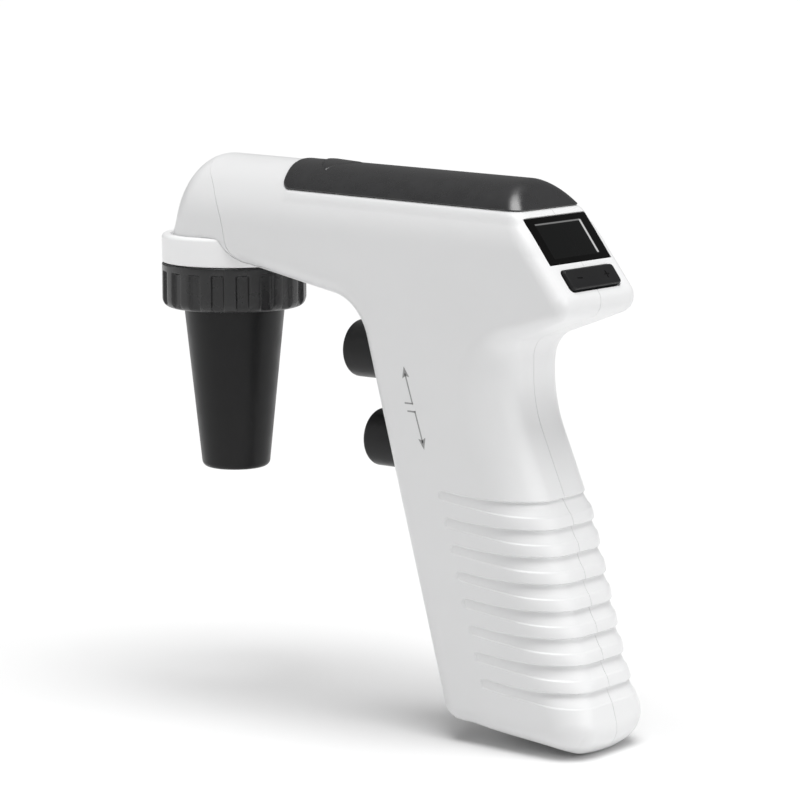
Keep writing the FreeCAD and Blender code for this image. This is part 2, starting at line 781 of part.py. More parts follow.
def make_valves():
    """The manifold behind the buttons, with the seals in its mouths."""
    half = size("valve_half_width")
    x, floor = size("valve_x"), size("valve_floor_z")
    body = block("valve_blank", cell("valve_depth"), f"2 * {cell('valve_half_width')}", cell("valve_height"),
                 (x, -half, floor))
    bores = []
    seals = []
    for prefix in ("upper", "lower"):
        z = button_axis(prefix)[1]
        bores.append(cylinder(prefix + "_valve_bore", f"{cell('stem_radius')} + {cell('stem_gap')}",
                              cell("valve_bore_length"), (x, 0, z), X_AXIS))
        bores.append(cylinder(prefix + "_seal_seat", cell("seal_seat_radius"), cell("seal_seat_depth"),
                              (x, 0, z), X_AXIS))
        seals.append(torus(prefix + "_seal", cell("seal_radius"), cell("seal_wire"),
                           (x + size("seal_seat_depth") - size("seal_wire") - 0.05, 0, z), X_AXIS))
    for name, route in (("suction", SUCTION_TUBE), ("pressure", PRESSURE_TUBE)):
        port = route[-1]
        bores.append(cylinder(name + "_port", cell("port_radius"), "5",
                              (port[0] - 4, port[1], port[2]), X_AXIS))
    top = AIR_TUBE[-1]
    bores.append(cylinder("air_port", cell("port_radius"), "5", (top[0], top[1], top[2] - 4), Z_AXIS))
    cut("valve_block", body, *bores)
    group("valve_seals", *seals)


# ------------------------------------------------------------------ battery bay

def make_battery_cover(form):
    """An arched cover with a thumb ridge near its front; its rear end shares the face's slant."""
    skin = common("cover_skin", form, cover_region("cover_region", size("cover_gap")))
    hollow = cylinder("cover_hollow", f"{cell('half_width')} - {cell('cover_wall')}", f"{REACH}",
                      along(ARCH_FRAME, x=-20), turned(ARCH_FRAME, X_AXIS))
    ahead = block("cover_end_limit", f"{REACH}", f"{REACH}", f"{REACH}",
                  (-REACH / 2, -REACH / 2, -REACH - size("cover_wall")), FACE_FRAME)
    shell = cut("cover_shell", skin, common("cover_inside", hollow, ahead))
    frame = ARCH_FRAME
    top, front, rear = size("half_width"), size("ridge_x"), size("ridge_x") + size("ridge_length")
    side_view = [(front, top - 2), (front, top + size("ridge_height")), (rear, top - 0.1), (rear, top - 2)]
    corners = [Vector(*along(frame, x=x, z=z)) for x, z in side_view]
    wedge = Part.Face(Part.makePolygon(corners + corners[:1])).extrude(Vector(0, size("ridge_width"), 0))
    ridge = made("thumb_wedge", wedge)
    ridge.Placement = Placement(Vector(0, -size("ridge_width") / 2, 0), Rotation())
    crown = cylinder("ridge_crown", f"{cell('half_width')} + {cell('ridge_height')}", "60",
                     along(frame), turned(frame, X_AXIS))
    fuse("battery_cover", shell, common("thumb_ridge", ridge, crown))


def make_battery_bay():
    gap, wall = size("tray_gap"), size("tray_wall")
    half = size("bay_half_width") - gap
    start, floor = size("bay_front_x") + gap, size("tray_floor_z")
    length = size("bay_length") - 2 * gap
    blank = block("tray_blank", f"{cell('bay_length')} - 2 * {cell('tray_gap')}",
                  f"2 * ({cell('bay_half_width')} - {cell('tray_gap')})", cell("tray_height"),
                  (start, -half, floor))
    inside = block("tray_inside", f"{cell('bay_length')} - 2 * ({cell('tray_gap')} + {cell('tray_wall')})",
                   f"2 * ({cell('bay_half_width')} - {cell('tray_gap')} - {cell('tray_wall')})",
                   cell("tray_height"), (start + wall, -half + wall, floor + wall))
    cell_space = cylinder("cell_space", f"{cell('cell_radius')} + 0.1", f"{length - 2 * wall}",
                          (start + wall, 0, size("cell_z")), X_AXIS)
    cut("battery_tray", blank, inside, cell_space)
    cylinder("battery_cell", cell("cell_radius"), cell("cell_length"),
             (size("cell_x"), 0, size("cell_z")), X_AXIS)
    thickness = size("contact_thickness")
    width = size("contact_width")
    base = size("cell_z") - width / 2
    inner_start, inner_end = start + wall, start + length - wall
    plates = (("battery_contact_front", inner_start + 0.05, size("cell_x")),
              ("battery_contact_rear", inner_end - 0.05 - thickness, size("cell_x") + size("cell_length")))
    for label, x, cell_end in plates:
        plate = block(label + "_plate", cell("contact_thickness"), cell("contact_width"),
                      cell("contact_width"), (x, -width / 2, base))
        middle = x + thickness / 2
        reach = abs(cell_end - middle) - 0.02
        towards_cell = X_AXIS if cell_end > x else X_AXIS * -1
        pad = cylinder(label + "_pad", "3", f"{reach}", (middle, 0, size("cell_z")), towards_cell)
        fuse(label, plate, pad)


# ------------------------------------------------------------------ rear face

def make_display():
    half = size("display_half_width")
    depth = size("display_depth")
    module_floor = depth + 0.05 + size("module_thickness")
    board = size("board_depth")
    block("display_lens", cell("display_length"), f"2 * {cell('display_half_width')}", cell("display_depth"),
          (0, -half, -depth), FACE_FRAME)
    block("display_module", f"{cell('display_length')} - 1", f"2 * ({cell('display_half_width')} - 0.7)",
          cell("module_thickness"), (0.5, -half + 0.7, -module_floor), FACE_FRAME)
    block("display_board", "21.5", f"2 * {cell('display_half_width')}", cell("board_thickness"),
          (0.5, -half, -board), FACE_FRAME)
    keys = []
    for side in (-1, 1):
        corner = (size("rocker_start") + 0.5, side * size("key_offset") - size("key_size") / 2,
                  size("board_thickness") - board)
        keys.append(block(f"rocker_key_{side + 1}", cell("key_size"), cell("key_size"), cell("key_height"),
                          corner, FACE_FRAME))
    group("rocker_switches", *keys)


def make_speed_rocker():
    half, root = size("rocker_half_width"), size("rocker_root")
    blank = block("rocker_blank", cell("rocker_length"), f"2 * {cell('rocker_half_width')}",
                  f"{cell('rocker_height')} + {cell('rocker_root')}",
                  (size("rocker_start"), -half, -root), FACE_FRAME)

    def top_edges(edge):
        heights = [FACE_FRAME.inverse().multVec(vertex.Point).z for vertex in edge.Vertexes]
        return (0.7, 0.7) if min(heights) > size("rocker_height") - 0.01 else None

    rounded("speed_rocker", blank, top_edges)


# ------------------------------------------------------------------ pump

# Hose routes, as the corners of their centre lines: from the pump head or the connector to the valve block.
PUMP_TOP = size("head_floor") + size("head_height")
VALVE_REAR = size("valve_x") + size("valve_depth")


def pump_hose_route(y, valve_z):
    """Out of the head along the pump's axis, then upright, then forward into the valve block."""
    start = along(PUMP_FRAME, x=4.0, y=y, z=PUMP_TOP)
    knee = along(PUMP_FRAME, x=4.0, y=y, z=PUMP_TOP + 3)
    return [start, knee, (knee[0], y, valve_z), (VALVE_REAR, y, valve_z)]


SUCTION_TUBE = pump_hose_route(-4.5, 20.0)
PRESSURE_TUBE = pump_hose_route(4.5, 30.0)
AIR_TUBE = [(9.5, 0, 61.2), (18.0, 0, 61.2), (30.0, 0, 58.1), (80.0, 0, 55.2),
            (80.0, 0, size("valve_floor_z") + size("valve_height"))]


def pump_cylinder(label, radius, length, floor, x=0.0):
    return cylinder(label, radius, length, along(PUMP_FRAME, x=x, z=floor), turned(PUMP_FRAME, Z_AXIS))


def pump_square(label, height, floor):
    half = size("pump_width") / 2
    return block(label, cell("pump_width"), cell("pump_width"), height, (-half, -half, floor), PUMP_FRAME)


def make_pump():
    bore = f"{cell('shaft_radius')} + {cell('shaft_gap')}"
    shaft_floor, cam_floor = size("shaft_floor"), size("cam_floor")
    cut("pump_motor", pump_cylinder("motor_can", cell("motor_radius"), cell("motor_length"), 0.0),
        pump_cylinder("motor_bore", bore, "20", shaft_floor - 0.2))
    shaft = pump_cylinder("motor_shaft", cell("shaft_radius"), cell("shaft_length"), shaft_floor)
    disc = pump_cylinder("cam_disc", cell("cam_radius"), cell("cam_height"), cam_floor, size("cam_throw"))
    cut("eccentric_cam", disc, shaft)
    cut("pump_body", pump_square("pump_blank", cell("pump_height"), size("pump_floor")),
        pump_cylinder("pump_bore", cell("pump_chamber"), "12", size("pump_floor") + 2),
        pump_cylinder("pump_shaft_bore", bore, "6", size("pump_floor") - 1))
    diaphragm = pump_square("diaphragm_blank", cell("diaphragm_thickness"), size("diaphragm_floor"))

    def upright(edge):
        direction = edge.tangentAt(edge.FirstParameter)
        return (2.0, 2.0) if abs(direction.dot(turned(PUMP_FRAME, Z_AXIS))) > 0.99 else None

    rounded("pump_diaphragm", diaphragm, upright)
    ports = []
    for name, route in (("suction", SUCTION_TUBE), ("pressure", PRESSURE_TUBE)):
        port = pump_cylinder(name + "_head_port", cell("tube_bore"), "4", PUMP_TOP - 3)
        port.Placement.Base = Vector(*route[0]) - turned(PUMP_FRAME, Z_AXIS) * 3
        ports.append(port)
    cut("pump_head", pump_square("head_blank", cell("head_height"), size("head_floor")), *ports)
    hose("suction_tube", SUCTION_TUBE)
    hose("pressure_tube", PRESSURE_TUBE)
    hose("air_tube", AIR_TUBE)


def make_pump_cradle(cavity):
    """A clip round the motor with a web out to both shells."""
    half = size("cradle_half_width")
    clip = pump_cylinder("cradle_clip", cell("cradle_radius"), cell("cradle_height"), size("cradle_floor"))
    web = block("cradle_web", "4", f"2 * {cell('cradle_half_width')}", cell("cradle_height"),
                (-2, -half, size("cradle_floor")), PUMP_FRAME)
    bore = pump_cylinder("cradle_bore", f"{cell('motor_radius')} + {cell('fit_gap')}", "40", -5)
    cut("pump_cradle", common("cradle_blank", fuse("cradle_parts", clip, web), cavity), bore)


# ------------------------------------------------------------------ electronics

def make_main_board():
    y = size("main_y")
    board = block("main_blank", cell("main_length"), cell("board_thickness"), cell("main_height"),
                  (size("main_x"), y, size("main_z")))
    holes = []
    screws = []
    for number, (x, z) in enumerate(BOARD_SCREWS):
        hole_radius = f"{cell('small_screw_radius')} + {cell('hole_gap')}"
        holes.append(cylinder(f"board_hole_{number}", hole_radius, "6", (x, y - 2, z), Y_AXIS))
        shank = cylinder(f"board_screw_shank_{number}", cell("small_screw_radius"),
                         cell("small_screw_length"), (x, y - 0.9, z), Y_AXIS)
        head = cylinder(f"board_screw_head_{number}", f"2 * {cell('small_screw_radius')}", "0.85",
                        (x, y - 0.9, z), Y_AXIS)
        screws.append(fuse(f"board_screw_{number}", shank, head))
    cut("main_board", board, *holes)
    group("board_screws", *screws)
    switches = []
    height, depth = size("trigger_switch_height"), size("trigger_switch_depth")
    for prefix, x in (("upper", size("main_x") + 0.4), ("lower", size("valve_x") - 0.8)):
        switches.append(block(prefix + "_trigger_switch", cell("trigger_switch_width"),
                              f"{cell('trigger_switch_depth')} - 0.05", cell("trigger_switch_height"),
                              (x, y - depth, button_axis(prefix)[1] - height / 2)))
    group("trigger_switches", *switches)


def make_wires():
    """The battery leads, from under the tray's rear end down to the board."""
    wires = []
    radius = size("wire_radius")
    board_top = size("main_z") + size("main_height")
    y = size("main_y") + size("board_thickness") / 2
    for x in (82.0, 86.0):
        start, end = (x + 9, y, size("tray_floor_z") - radius), (x, y, board_top)
        knee = (x, y, size("tray_floor_z") - radius)
        wires.append(made(f"lead_{int(x)}", swept([start, knee, end], radius, 2.5)))
    group("battery_wires", *wires)


# ------------------------------------------------------------------ fasteners and socket

def make_housing_screws():
    screws = []
    head_y = size("screw_head_y")
    for number, (x, z) in enumerate(SHELL_SCREWS):
        shank = cylinder(f"screw_shank_{number}", cell("screw_radius"), cell("screw_length"),
                         (x, head_y - size("screw_length") + 0.5, z), Y_AXIS)
        head = cylinder(f"screw_head_{number}", cell("screw_head_radius"), cell("screw_head_height"),
                        (x, head_y + 0.02, z), Y_AXIS)
        slot_floor = head_y + size("screw_head_height") - 0.8
        slot = block(f"screw_slot_{number}", "3.4", "2", "0.6", (x - 1.7, slot_floor, z - 0.3))
        screws.append(cut(f"screw_{number}", fuse(f"screw_blank_{number}", shank, head), slot))
    group("housing_screws", *screws)


def make_charging_socket():
    frame = foot_frame()
    inward = turned(frame, Z_AXIS) * -1
    mouth = along(frame, z=-size("jack_recess"))
    barrel = cylinder("jack_barrel", cell("jack_radius"), cell("jack_length"), mouth, inward)
    bore = cylinder("jack_hole", cell("jack_bore"), cell("jack_bore_length"), mouth, inward)
    cut("charging_socket", barrel, bore)


# ------------------------------------------------------------------ assembly

NODES = [
    "left_shell", "right_shell", "front_cap", "collar_ring", "ring_nut", "nose_cone", "nose_o_ring",
    "pipette_holder", "filter_housing", "filter_membrane", "nozzle_connector", "air_tube",
    "aspirate_button", "aspirate_stem", "aspirate_spring", "dispense_button", "dispense_stem",
    "dispense_spring", "valve_block", "valve_seals", "battery_cover", "battery_tray", "battery_cell",
    "battery_contact_front", "battery_contact_rear", "battery_wires", "display_lens", "display_module",
    "display_board", "rocker_switches", "speed_rocker", "pump_motor", "motor_shaft", "eccentric_cam",
    "pump_body", "pump_diaphragm", "pump_head", "pump_cradle", "suction_tube", "pressure_tube",
    "main_board", "board_screws", "trigger_switches", "housing_screws", "charging_socket",
]

casing_solid, cavity_solid = make_casing()
make_collar_ring(casing_solid)
make_ring_nut()
make_nose_cone()
make_pipette_holder()
make_filter()
make_nozzle_connector()
make_trigger("upper", "aspirate_button", "aspirate_stem", "aspirate_spring")
make_trigger("lower", "dispense_button", "dispense_stem", "dispense_spring")
make_valves()
make_battery_cover(casing_solid)
make_battery_bay()
make_display()
make_speed_rocker()
make_pump()
make_pump_cradle(cavity_solid)
make_main_board()
make_wires()
make_housing_screws()
make_charging_socket()
doc.recompute()

for item in doc.Objects:
    if {"Invalid", "Error"} & set(item.State):
        raise RuntimeError(f"{item.Label} failed: {item.State}")
pieces = {label: doc.getObjectsByLabel(label)[0] for label in NODES}
for label, piece in pieces.items():
    shape = piece.Shape
    if shape.isNull() or not shape.isValid() or not shape.Solids:
        raise RuntimeError(f"{label} has no valid solid")

os.makedirs("parts", exist_ok=True)
for label, piece in pieces.items():
    piece.Shape.exportStep(f"parts/{label}.step")
    print(f"{label}: {len(piece.Shape.Solids)} solid(s), {piece.Shape.Volume:.1f} mm3")
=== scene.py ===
"""Looks of the motorized pipette controller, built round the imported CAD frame.

Shapes are worked out in millimetres, in the CAD's own frame, and scaled to metres when a mesh is made.
"""
import json
from math import atan2, cos, pi, radians, sin, tan

import bmesh
import bpy
import numpy as np
from mathutils import Matrix, Vector

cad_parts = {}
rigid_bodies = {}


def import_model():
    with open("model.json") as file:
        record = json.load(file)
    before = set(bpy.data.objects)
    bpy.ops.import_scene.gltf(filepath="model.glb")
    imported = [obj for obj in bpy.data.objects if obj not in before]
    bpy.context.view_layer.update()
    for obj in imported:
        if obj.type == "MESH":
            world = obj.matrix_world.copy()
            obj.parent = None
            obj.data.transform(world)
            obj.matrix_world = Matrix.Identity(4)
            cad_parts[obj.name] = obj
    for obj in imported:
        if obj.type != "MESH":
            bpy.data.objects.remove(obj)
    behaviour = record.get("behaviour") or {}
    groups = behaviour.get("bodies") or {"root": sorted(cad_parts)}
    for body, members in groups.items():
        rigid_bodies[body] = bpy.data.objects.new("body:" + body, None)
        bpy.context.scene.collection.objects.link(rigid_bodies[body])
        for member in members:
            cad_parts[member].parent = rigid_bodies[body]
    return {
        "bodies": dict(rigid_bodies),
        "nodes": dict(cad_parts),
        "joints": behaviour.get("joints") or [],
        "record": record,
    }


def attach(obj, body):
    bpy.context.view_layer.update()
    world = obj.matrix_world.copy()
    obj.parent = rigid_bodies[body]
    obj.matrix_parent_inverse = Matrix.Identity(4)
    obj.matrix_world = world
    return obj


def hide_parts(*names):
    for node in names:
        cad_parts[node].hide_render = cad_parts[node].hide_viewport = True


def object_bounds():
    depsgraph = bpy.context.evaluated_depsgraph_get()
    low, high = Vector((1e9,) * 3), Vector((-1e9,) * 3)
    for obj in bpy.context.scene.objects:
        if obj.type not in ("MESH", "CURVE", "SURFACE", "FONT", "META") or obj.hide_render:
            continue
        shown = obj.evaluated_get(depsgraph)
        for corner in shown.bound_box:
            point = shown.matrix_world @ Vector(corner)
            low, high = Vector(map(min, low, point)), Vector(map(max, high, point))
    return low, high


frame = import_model()
CAD_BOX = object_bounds()
MM = 0.001


# ---------------- field helpers

def smoothstep(low, high, value):
    ramp = np.clip((value - low) / (high - low), 0.0, 1.0)
    return ramp * ramp * (3.0 - 2.0 * ramp)


def rounded_max(first, second, radius, cosine=0.0):
    """Two distance fields met with a true fillet; the cosine is of the angle between their slopes."""
    ahead, aside = first + radius, second + radius
    square = (ahead * ahead + aside * aside - 2 * cosine * ahead * aside) / (1 - cosine * cosine)
    filleted = (ahead > cosine * aside) & (aside > cosine * ahead)
    return np.where(filleted, np.sqrt(np.maximum(square, 0.0)) - radius, np.maximum(first, second))


# ---------------- casing outline

HALF_WIDTH = 16.72
AXIS_Z = 67.72
FALL = tan(radians(1.3))
FACE_POINT = (106.1, 73.75)
FACE_DOWN = (0.6, -0.8)
FACE_OUT = (0.8, 0.6)

FOOT_POINT = (82.6, -53.4)
HEEL_POINT = (128.0, -60.25)
FOOT_SLOPE = atan2(FOOT_POINT[1] - HEEL_POINT[1], HEEL_POINT[0] - FOOT_POINT[0])
FOOT_OUT = (-sin(FOOT_SLOPE), -cos(FOOT_SLOPE))

# Corners of the side outline, anticlockwise from above the dome, as (x, z, rounding).
# It runs on below the foot, where a plane cuts it.
OUTLINE = [
    (-30.0, 65.15, 0.0), (54.4, 49.5, 14.0), (87.9, -72.5, 0.0), (133.0, -77.2, 0.0), (111.7, -1.1, 60.0),
    (99.9, 26.1, 36.0), (99.9, 42.3, 6.0), (122.8, 51.5, 4.4), (88.4, 97.35, 0.0), (-30.0, 97.35, 0.0),
]


def unit(vector):
    return vector / np.linalg.norm(vector)


def corner_turn(corners, index):
    """A corner's point, the unit ways back and ahead from it, and half the angle between them."""
    count = len(corners)
    before, here, after = (np.array(corners[(index + step) % count][:2], float) for step in (-1, 0, 1))
    back, ahead = unit(before - here), unit(after - here)
    return here, back, ahead, np.arccos(np.clip(back @ ahead, -1, 1)) / 2


def outline_pieces(corners):
    """The outline as straight runs, (start, end), and arcs, (centre, radius, middle, half angle, sign)."""
    arcs, joints = [], []
    for index, (*_, radius) in enumerate(corners):
        here, back, ahead, half = corner_turn(corners, index)
        reach = radius / np.tan(half) if radius else 0.0
        joints.append((here + back * reach, here + ahead * reach))
        if radius:
            bisector = unit(back + ahead)
            turn = np.sign(ahead[0] * back[1] - ahead[1] * back[0])
            arcs.append((here + bisector * radius / np.sin(half), radius, -bisector, pi / 2 - half, turn))
    return [(this[1], following[0]) for this, following in zip(joints, joints[1:] + joints[:1])], arcs


RUNS, ARCS = outline_pieces(OUTLINE)


def outline_distance(x, z):
    """Signed distance to the side outline: negative inside."""
    nearest = np.full(np.broadcast(x, z).shape, 1e9)
    signed = np.full(nearest.shape, 1e9)
    for start, end in RUNS:
        direction = end - start
        length = np.linalg.norm(direction)
        direction = direction / length
        along = np.clip((x - start[0]) * direction[0] + (z - start[1]) * direction[1], 0, length)
        gap = np.hypot(x - start[0] - along * direction[0], z - start[1] - along * direction[1])
        side = (x - start[0]) * direction[1] - (z - start[1]) * direction[0]
        closer = gap < nearest
        nearest = np.where(closer, gap, nearest)
        signed = np.where(closer, np.sign(side) * gap, signed)
    for centre, radius, middle, half_angle, turn in ARCS:
        out = np.hypot(x - centre[0], z - centre[1])
        facing = ((x - centre[0]) * middle[0] + (z - centre[1]) * middle[1]) / np.maximum(out, 1e-9)
        gap = np.where(facing >= np.cos(half_angle), np.abs(out - radius), 1e9)
        closer = gap < nearest
        nearest = np.where(closer, gap, nearest)
        signed = np.where(closer, turn * (out - radius), signed)
    return signed


# ---------------- casing field

GROOVES = 8
GROOVE_TILT = 0.105
GROOVE_TOP = 4.58
GROOVE_PITCH = 6.39
GROOVE_WIDTH = 2.2
GROOVE_RISE = 0.62
GROOVE_MIDDLE = GROOVE_TOP - GROOVE_WIDTH / 2
GROOVE_LIFT = 0.9
GROOVE_WIDEN = 0.5
GROOVE_DEPTH = 0.9
GROOVE_SHALLOW = 0.33
GROOVE_START_X = 83.0
GROOVE_STEP_X = 1.9
SHEAR_X = 84.0

PALM_RIM = 11.5
LOBE_RIM = 3.9
FACE_RIM = 4.7
FOOT_RIM = 8.0
FRONT_RIM = 6.0
FOOT_CROWN = (0.4, 1.3)
CROWN_HALF = 12.0


def groove_height(x, z):
    """Height measured square to the grooves' fall."""
    return z + GROOVE_TILT * (x - SHEAR_X)


def groove_run(x, level):
    """Distance rearwards from the grooves' slanting row of front ends."""
    number = np.clip((GROOVE_MIDDLE - level) / GROOVE_PITCH, 0, GROOVES - 1)
    return x - GROOVE_START_X - GROOVE_STEP_X * number


def groove_depth(x, z):
    """How far the grip's surface is sunk, or swelled between two grooves; the grooves widen rearwards."""
    level = groove_height(x, z)
    run = groove_run(x, level)
    widened = smoothstep(4, 26, run)
    between = (GROOVE_MIDDLE + GROOVE_LIFT * widened - level) / GROOVE_PITCH
    number = np.clip(np.round(between), 0, GROOVES - 1)
    half = GROOVE_WIDTH / 2 + GROOVE_WIDEN * widened
    height = (number - between) * GROOVE_PITCH
    start = GROOVE_START_X + number * GROOVE_STEP_X + GROOVE_WIDTH / 2
    edge = np.hypot(np.minimum(x - start, 0.0), height) - half
    depth = GROOVE_SHALLOW + (GROOVE_DEPTH - GROOVE_SHALLOW) * smoothstep(5, 24, run)
    rise = 1 - (0.2 + GROOVE_RISE * widened) * np.clip(0.5 - height / (2 * half), 0, 1)
    sunk = depth * rise * smoothstep(-0.34, 0.06, -edge)
    inside_row = smoothstep(-0.35, 0.1, between) * smoothstep(-0.35, 0.1, GROOVES - 1 - between)
    swell = 0.3 * np.sin(pi * between) ** 2 * inside_row
    return sunk - swell * smoothstep(6, 22, run)


def rim_radius(x, z):
    """Rounding of the casing's long edges."""
    rear = PALM_RIM + (LOBE_RIM - PALM_RIM) * smoothstep(35, 51, z)
    rear = rear + (FACE_RIM - LOBE_RIM) * smoothstep(58, 72, z)
    rear = rear + (FOOT_RIM - PALM_RIM) * smoothstep(-38, -52, z)
    middle_x = 79.0 - 0.29 * (np.minimum(z, 36.0) - 36.0)
    return FRONT_RIM + (rear - FRONT_RIM) * smoothstep(middle_x - 5, middle_x + 9, x)


def foot_plane(x, y, z):
    """Distance below the foot's crowned underside, the rounding of its edge and how sharp that edge is."""
    below = (x - FOOT_POINT[0]) * FOOT_OUT[0] + (z - FOOT_POINT[1]) * FOOT_OUT[1]
    crown = FOOT_CROWN[0] + (FOOT_CROWN[1] - FOOT_CROWN[0]) * smoothstep(90, 122, x)
    below = below + crown * np.minimum((y / CROWN_HALF) ** 2, 1.0)
    radius = 4.6 + 1.9 * smoothstep(96, 122, x)
    cosine = 0.36 * smoothstep(93, 86, x) - 0.37 * smoothstep(117, 124, x)
    return below, radius, cosine


def casing_field(x, y, z):
    """Near-distance to the casing's outer surface: negative inside."""
    up = np.maximum(z - AXIS_Z + np.maximum(x, 0.0) * FALL, 0.0)
    front_reach = 10.2 + 6.4 * np.exp(-np.maximum(z - 62.0, 0.0) / 9.0)
    lean = np.where(x < 0, x * HALF_WIDTH / front_reach, 0.0)
    spread = np.sqrt(lean * lean + y * y + up * up)
    drum = np.sqrt(np.where(x < 0, lean, x) ** 2 + y * y + up * up) - HALF_WIDTH
    slant = FACE_OUT[1] * up / np.maximum(spread, 1e-6)
    body = rounded_max(outline_distance(x, z), spread - HALF_WIDTH, rim_radius(x, z), slant)
    below, radius, cosine = foot_plane(x, y, z)
    body = rounded_max(body, below, radius, cosine)
    front = np.maximum(drum, 57.3 - z)
    return np.minimum(body, front) + groove_depth(x, z)


# ---------------- surface nets

def net_surface(field, points, values):
    """A closed quad net on the zero level of a field that is sampled on a lattice of points."""
    shape = np.array(values.shape)
    cells = shape - 1
    total = np.zeros((int(np.prod(cells)), 3))
    hits = np.zeros(int(np.prod(cells)))
    faces = []
    inside = values < 0
    for axis in range(3):
        low = [slice(None)] * 3
        high = [slice(None)] * 3
        low[axis], high[axis] = slice(None, -1), slice(1, None)
        low, high = tuple(low), tuple(high)
        crossing = inside[low] != inside[high]
        index = np.argwhere(crossing)
        share = values[low][crossing] / (values[low][crossing] - values[high][crossing])
        start, end = points[low][crossing], points[high][crossing]
        place = start + (end - start) * share[:, None]
        rising = inside[low][crossing]
        others = [other for other in range(3) if other != axis]
        ring = []
        for first, second in ((0, 0), (-1, 0), (-1, -1), (0, -1)):
            cell = index.copy()
            cell[:, others[0]] += first
            cell[:, others[1]] += second
            ring.append((cell[:, 0] * cells[1] + cell[:, 1]) * cells[2] + cell[:, 2])
        for flat in ring:
            for column in range(3):
                total[:, column] += np.bincount(flat, place[:, column], len(total))
            hits += np.bincount(flat, minlength=len(hits))
        quad = np.stack(ring, axis=1)
        forwards = rising if axis != 1 else ~rising
        faces.append(np.where(forwards[:, None], quad, quad[:, ::-1]))
    used = hits > 0
    number = np.cumsum(used) - 1
    vertices = total[used] / hits[used][:, None]
    return settle(field, vertices), number[np.concatenate(faces)]


def gradient(field, vertices, step=0.02):
    columns = []
    for axis in range(3):
        ahead, behind = vertices.copy(), vertices.copy()
        ahead[:, axis] += step
        behind[:, axis] -= step
        columns.append((field(*ahead.T) - field(*behind.T)) / (2 * step))
    return np.stack(columns, axis=1)


def settle(field, vertices, rounds=4, limit=0.6):
    """Vertices moved square to the surface until they lie on it."""
    for _ in range(rounds):
        slope = gradient(field, vertices)
        square = np.maximum((slope * slope).sum(axis=1), 0.05)
        move = -slope * (field(*vertices.T) / square)[:, None]
        length = np.linalg.norm(move, axis=1)
        vertices = vertices + move * np.minimum(1.0, limit / np.maximum(length, 1e-9))[:, None]
    return vertices


def spaced(groups, digits, least):
    """Lattice rows in order, without those that are closer than the least gap to the one before."""
    merged = np.unique(np.round(np.concatenate(groups), digits))
    return merged[np.concatenate([[True], np.diff(merged) > least])]


def casing_lattice(pitch):
    """Lattice points that follow the grooves' fall, with rows close together along each groove's edges."""
    xs = np.arange(-18.0, 127.0, pitch)
    half = np.arange(pitch / 2, 18.0, pitch)
    ys = np.concatenate([-half[::-1], half])
    levels = [np.arange(-60.0, 88.0, pitch), np.arange(72.0, 82.6, 0.3)]
    for number in range(GROOVES):
        for edge in (0.0, GROOVE_WIDTH):
            levels.append(GROOVE_TOP - number * GROOVE_PITCH - edge + np.arange(-0.45, 0.46, 0.15))
    x, y, level = np.meshgrid(xs, ys, spaced(levels, 3, 0.12), indexing="ij")
    phase = np.mod(level - GROOVE_MIDDLE + GROOVE_WIDTH / 2, GROOVE_PITCH)
    lift = np.interp(phase, [0, GROOVE_WIDTH, GROOVE_PITCH],
                     [GROOVE_LIFT - GROOVE_WIDEN, GROOVE_LIFT + GROOVE_WIDEN, GROOVE_LIFT - GROOVE_WIDEN])
    grip = smoothstep(GROOVE_TOP + 12, GROOVE_TOP + 6, level) * smoothstep(-56, -48, level)
    lifted = level + lift * grip * smoothstep(4, 26, groove_run(x, level))
    return x, y, lifted - GROOVE_TILT * (x - SHEAR_X)


# ---------------- mesh tools (millimetres)

def linked(name, data):
    """A new object in the scene."""
    item = bpy.data.objects.new(name, data)
    bpy.context.scene.collection.objects.link(item)
    return item


def mesh_object(name, vertices, faces):
    mesh = bpy.data.meshes.new(name)
    places = [tuple(map(float, vertex)) for vertex in vertices]
    mesh.from_pydata(places, [], [tuple(map(int, face)) for face in faces])
    mesh.validate()
    return linked(name, mesh)


def read(items, attribute, width=1, kind=float):
    """One attribute of a mesh's vertices, edges, loops or faces, as an array."""
    values = np.zeros(len(items) * width, kind)
    items.foreach_get(attribute, values)
    return values.reshape(-1, width) if width > 1 else values


def lowest_corner(piece):
    return read(piece.data.vertices, "co", 3).min(axis=0)


def outward(piece):
    """Make all the faces of a closed piece look outwards."""
    shape = bmesh.new()
    shape.from_mesh(piece.data)
    bmesh.ops.recalc_face_normals(shape, faces=shape.faces)
    shape.to_mesh(piece.data)
    shape.free()
    return piece


def rounded_path(corners, step=0.22):
    """A closed outline with its corners (across, up, radius) turned into arcs."""
    path = []
    for index, (*point, radius) in enumerate(corners):
        if not radius:
            path.append(np.array(point, float))
            continue
        here, back, ahead, half = corner_turn(corners, index)
        centre = here + unit(back + ahead) * radius / np.sin(half)
        start = here + back * radius / np.tan(half) - centre
        end = here + ahead * radius / np.tan(half) - centre
        begin = atan2(start[1], start[0])
        sweep = (atan2(end[1], end[0]) - begin + pi) % (2 * pi) - pi
        pieces = max(4, int(abs(sweep) / step) + 1)
        for part in range(pieces + 1):
            angle = begin + sweep * part / pieces
            path.append(centre + radius * np.array([cos(angle), sin(angle)]))
    return np.array(path)


def strip(start, end, count):
    """Quads between two rings of vertices, from the numbers that the rings start at."""
    return [(start + i, start + (i + 1) % count, end + (i + 1) % count, end + i) for i in range(count)]


def aimed(base, axis):
    """A frame at a point with its Z along an axis."""
    turn = Vector((0, 0, 1)).rotation_difference(Vector(axis))
    return Matrix.Translation(base) @ turn.to_matrix().to_4x4()


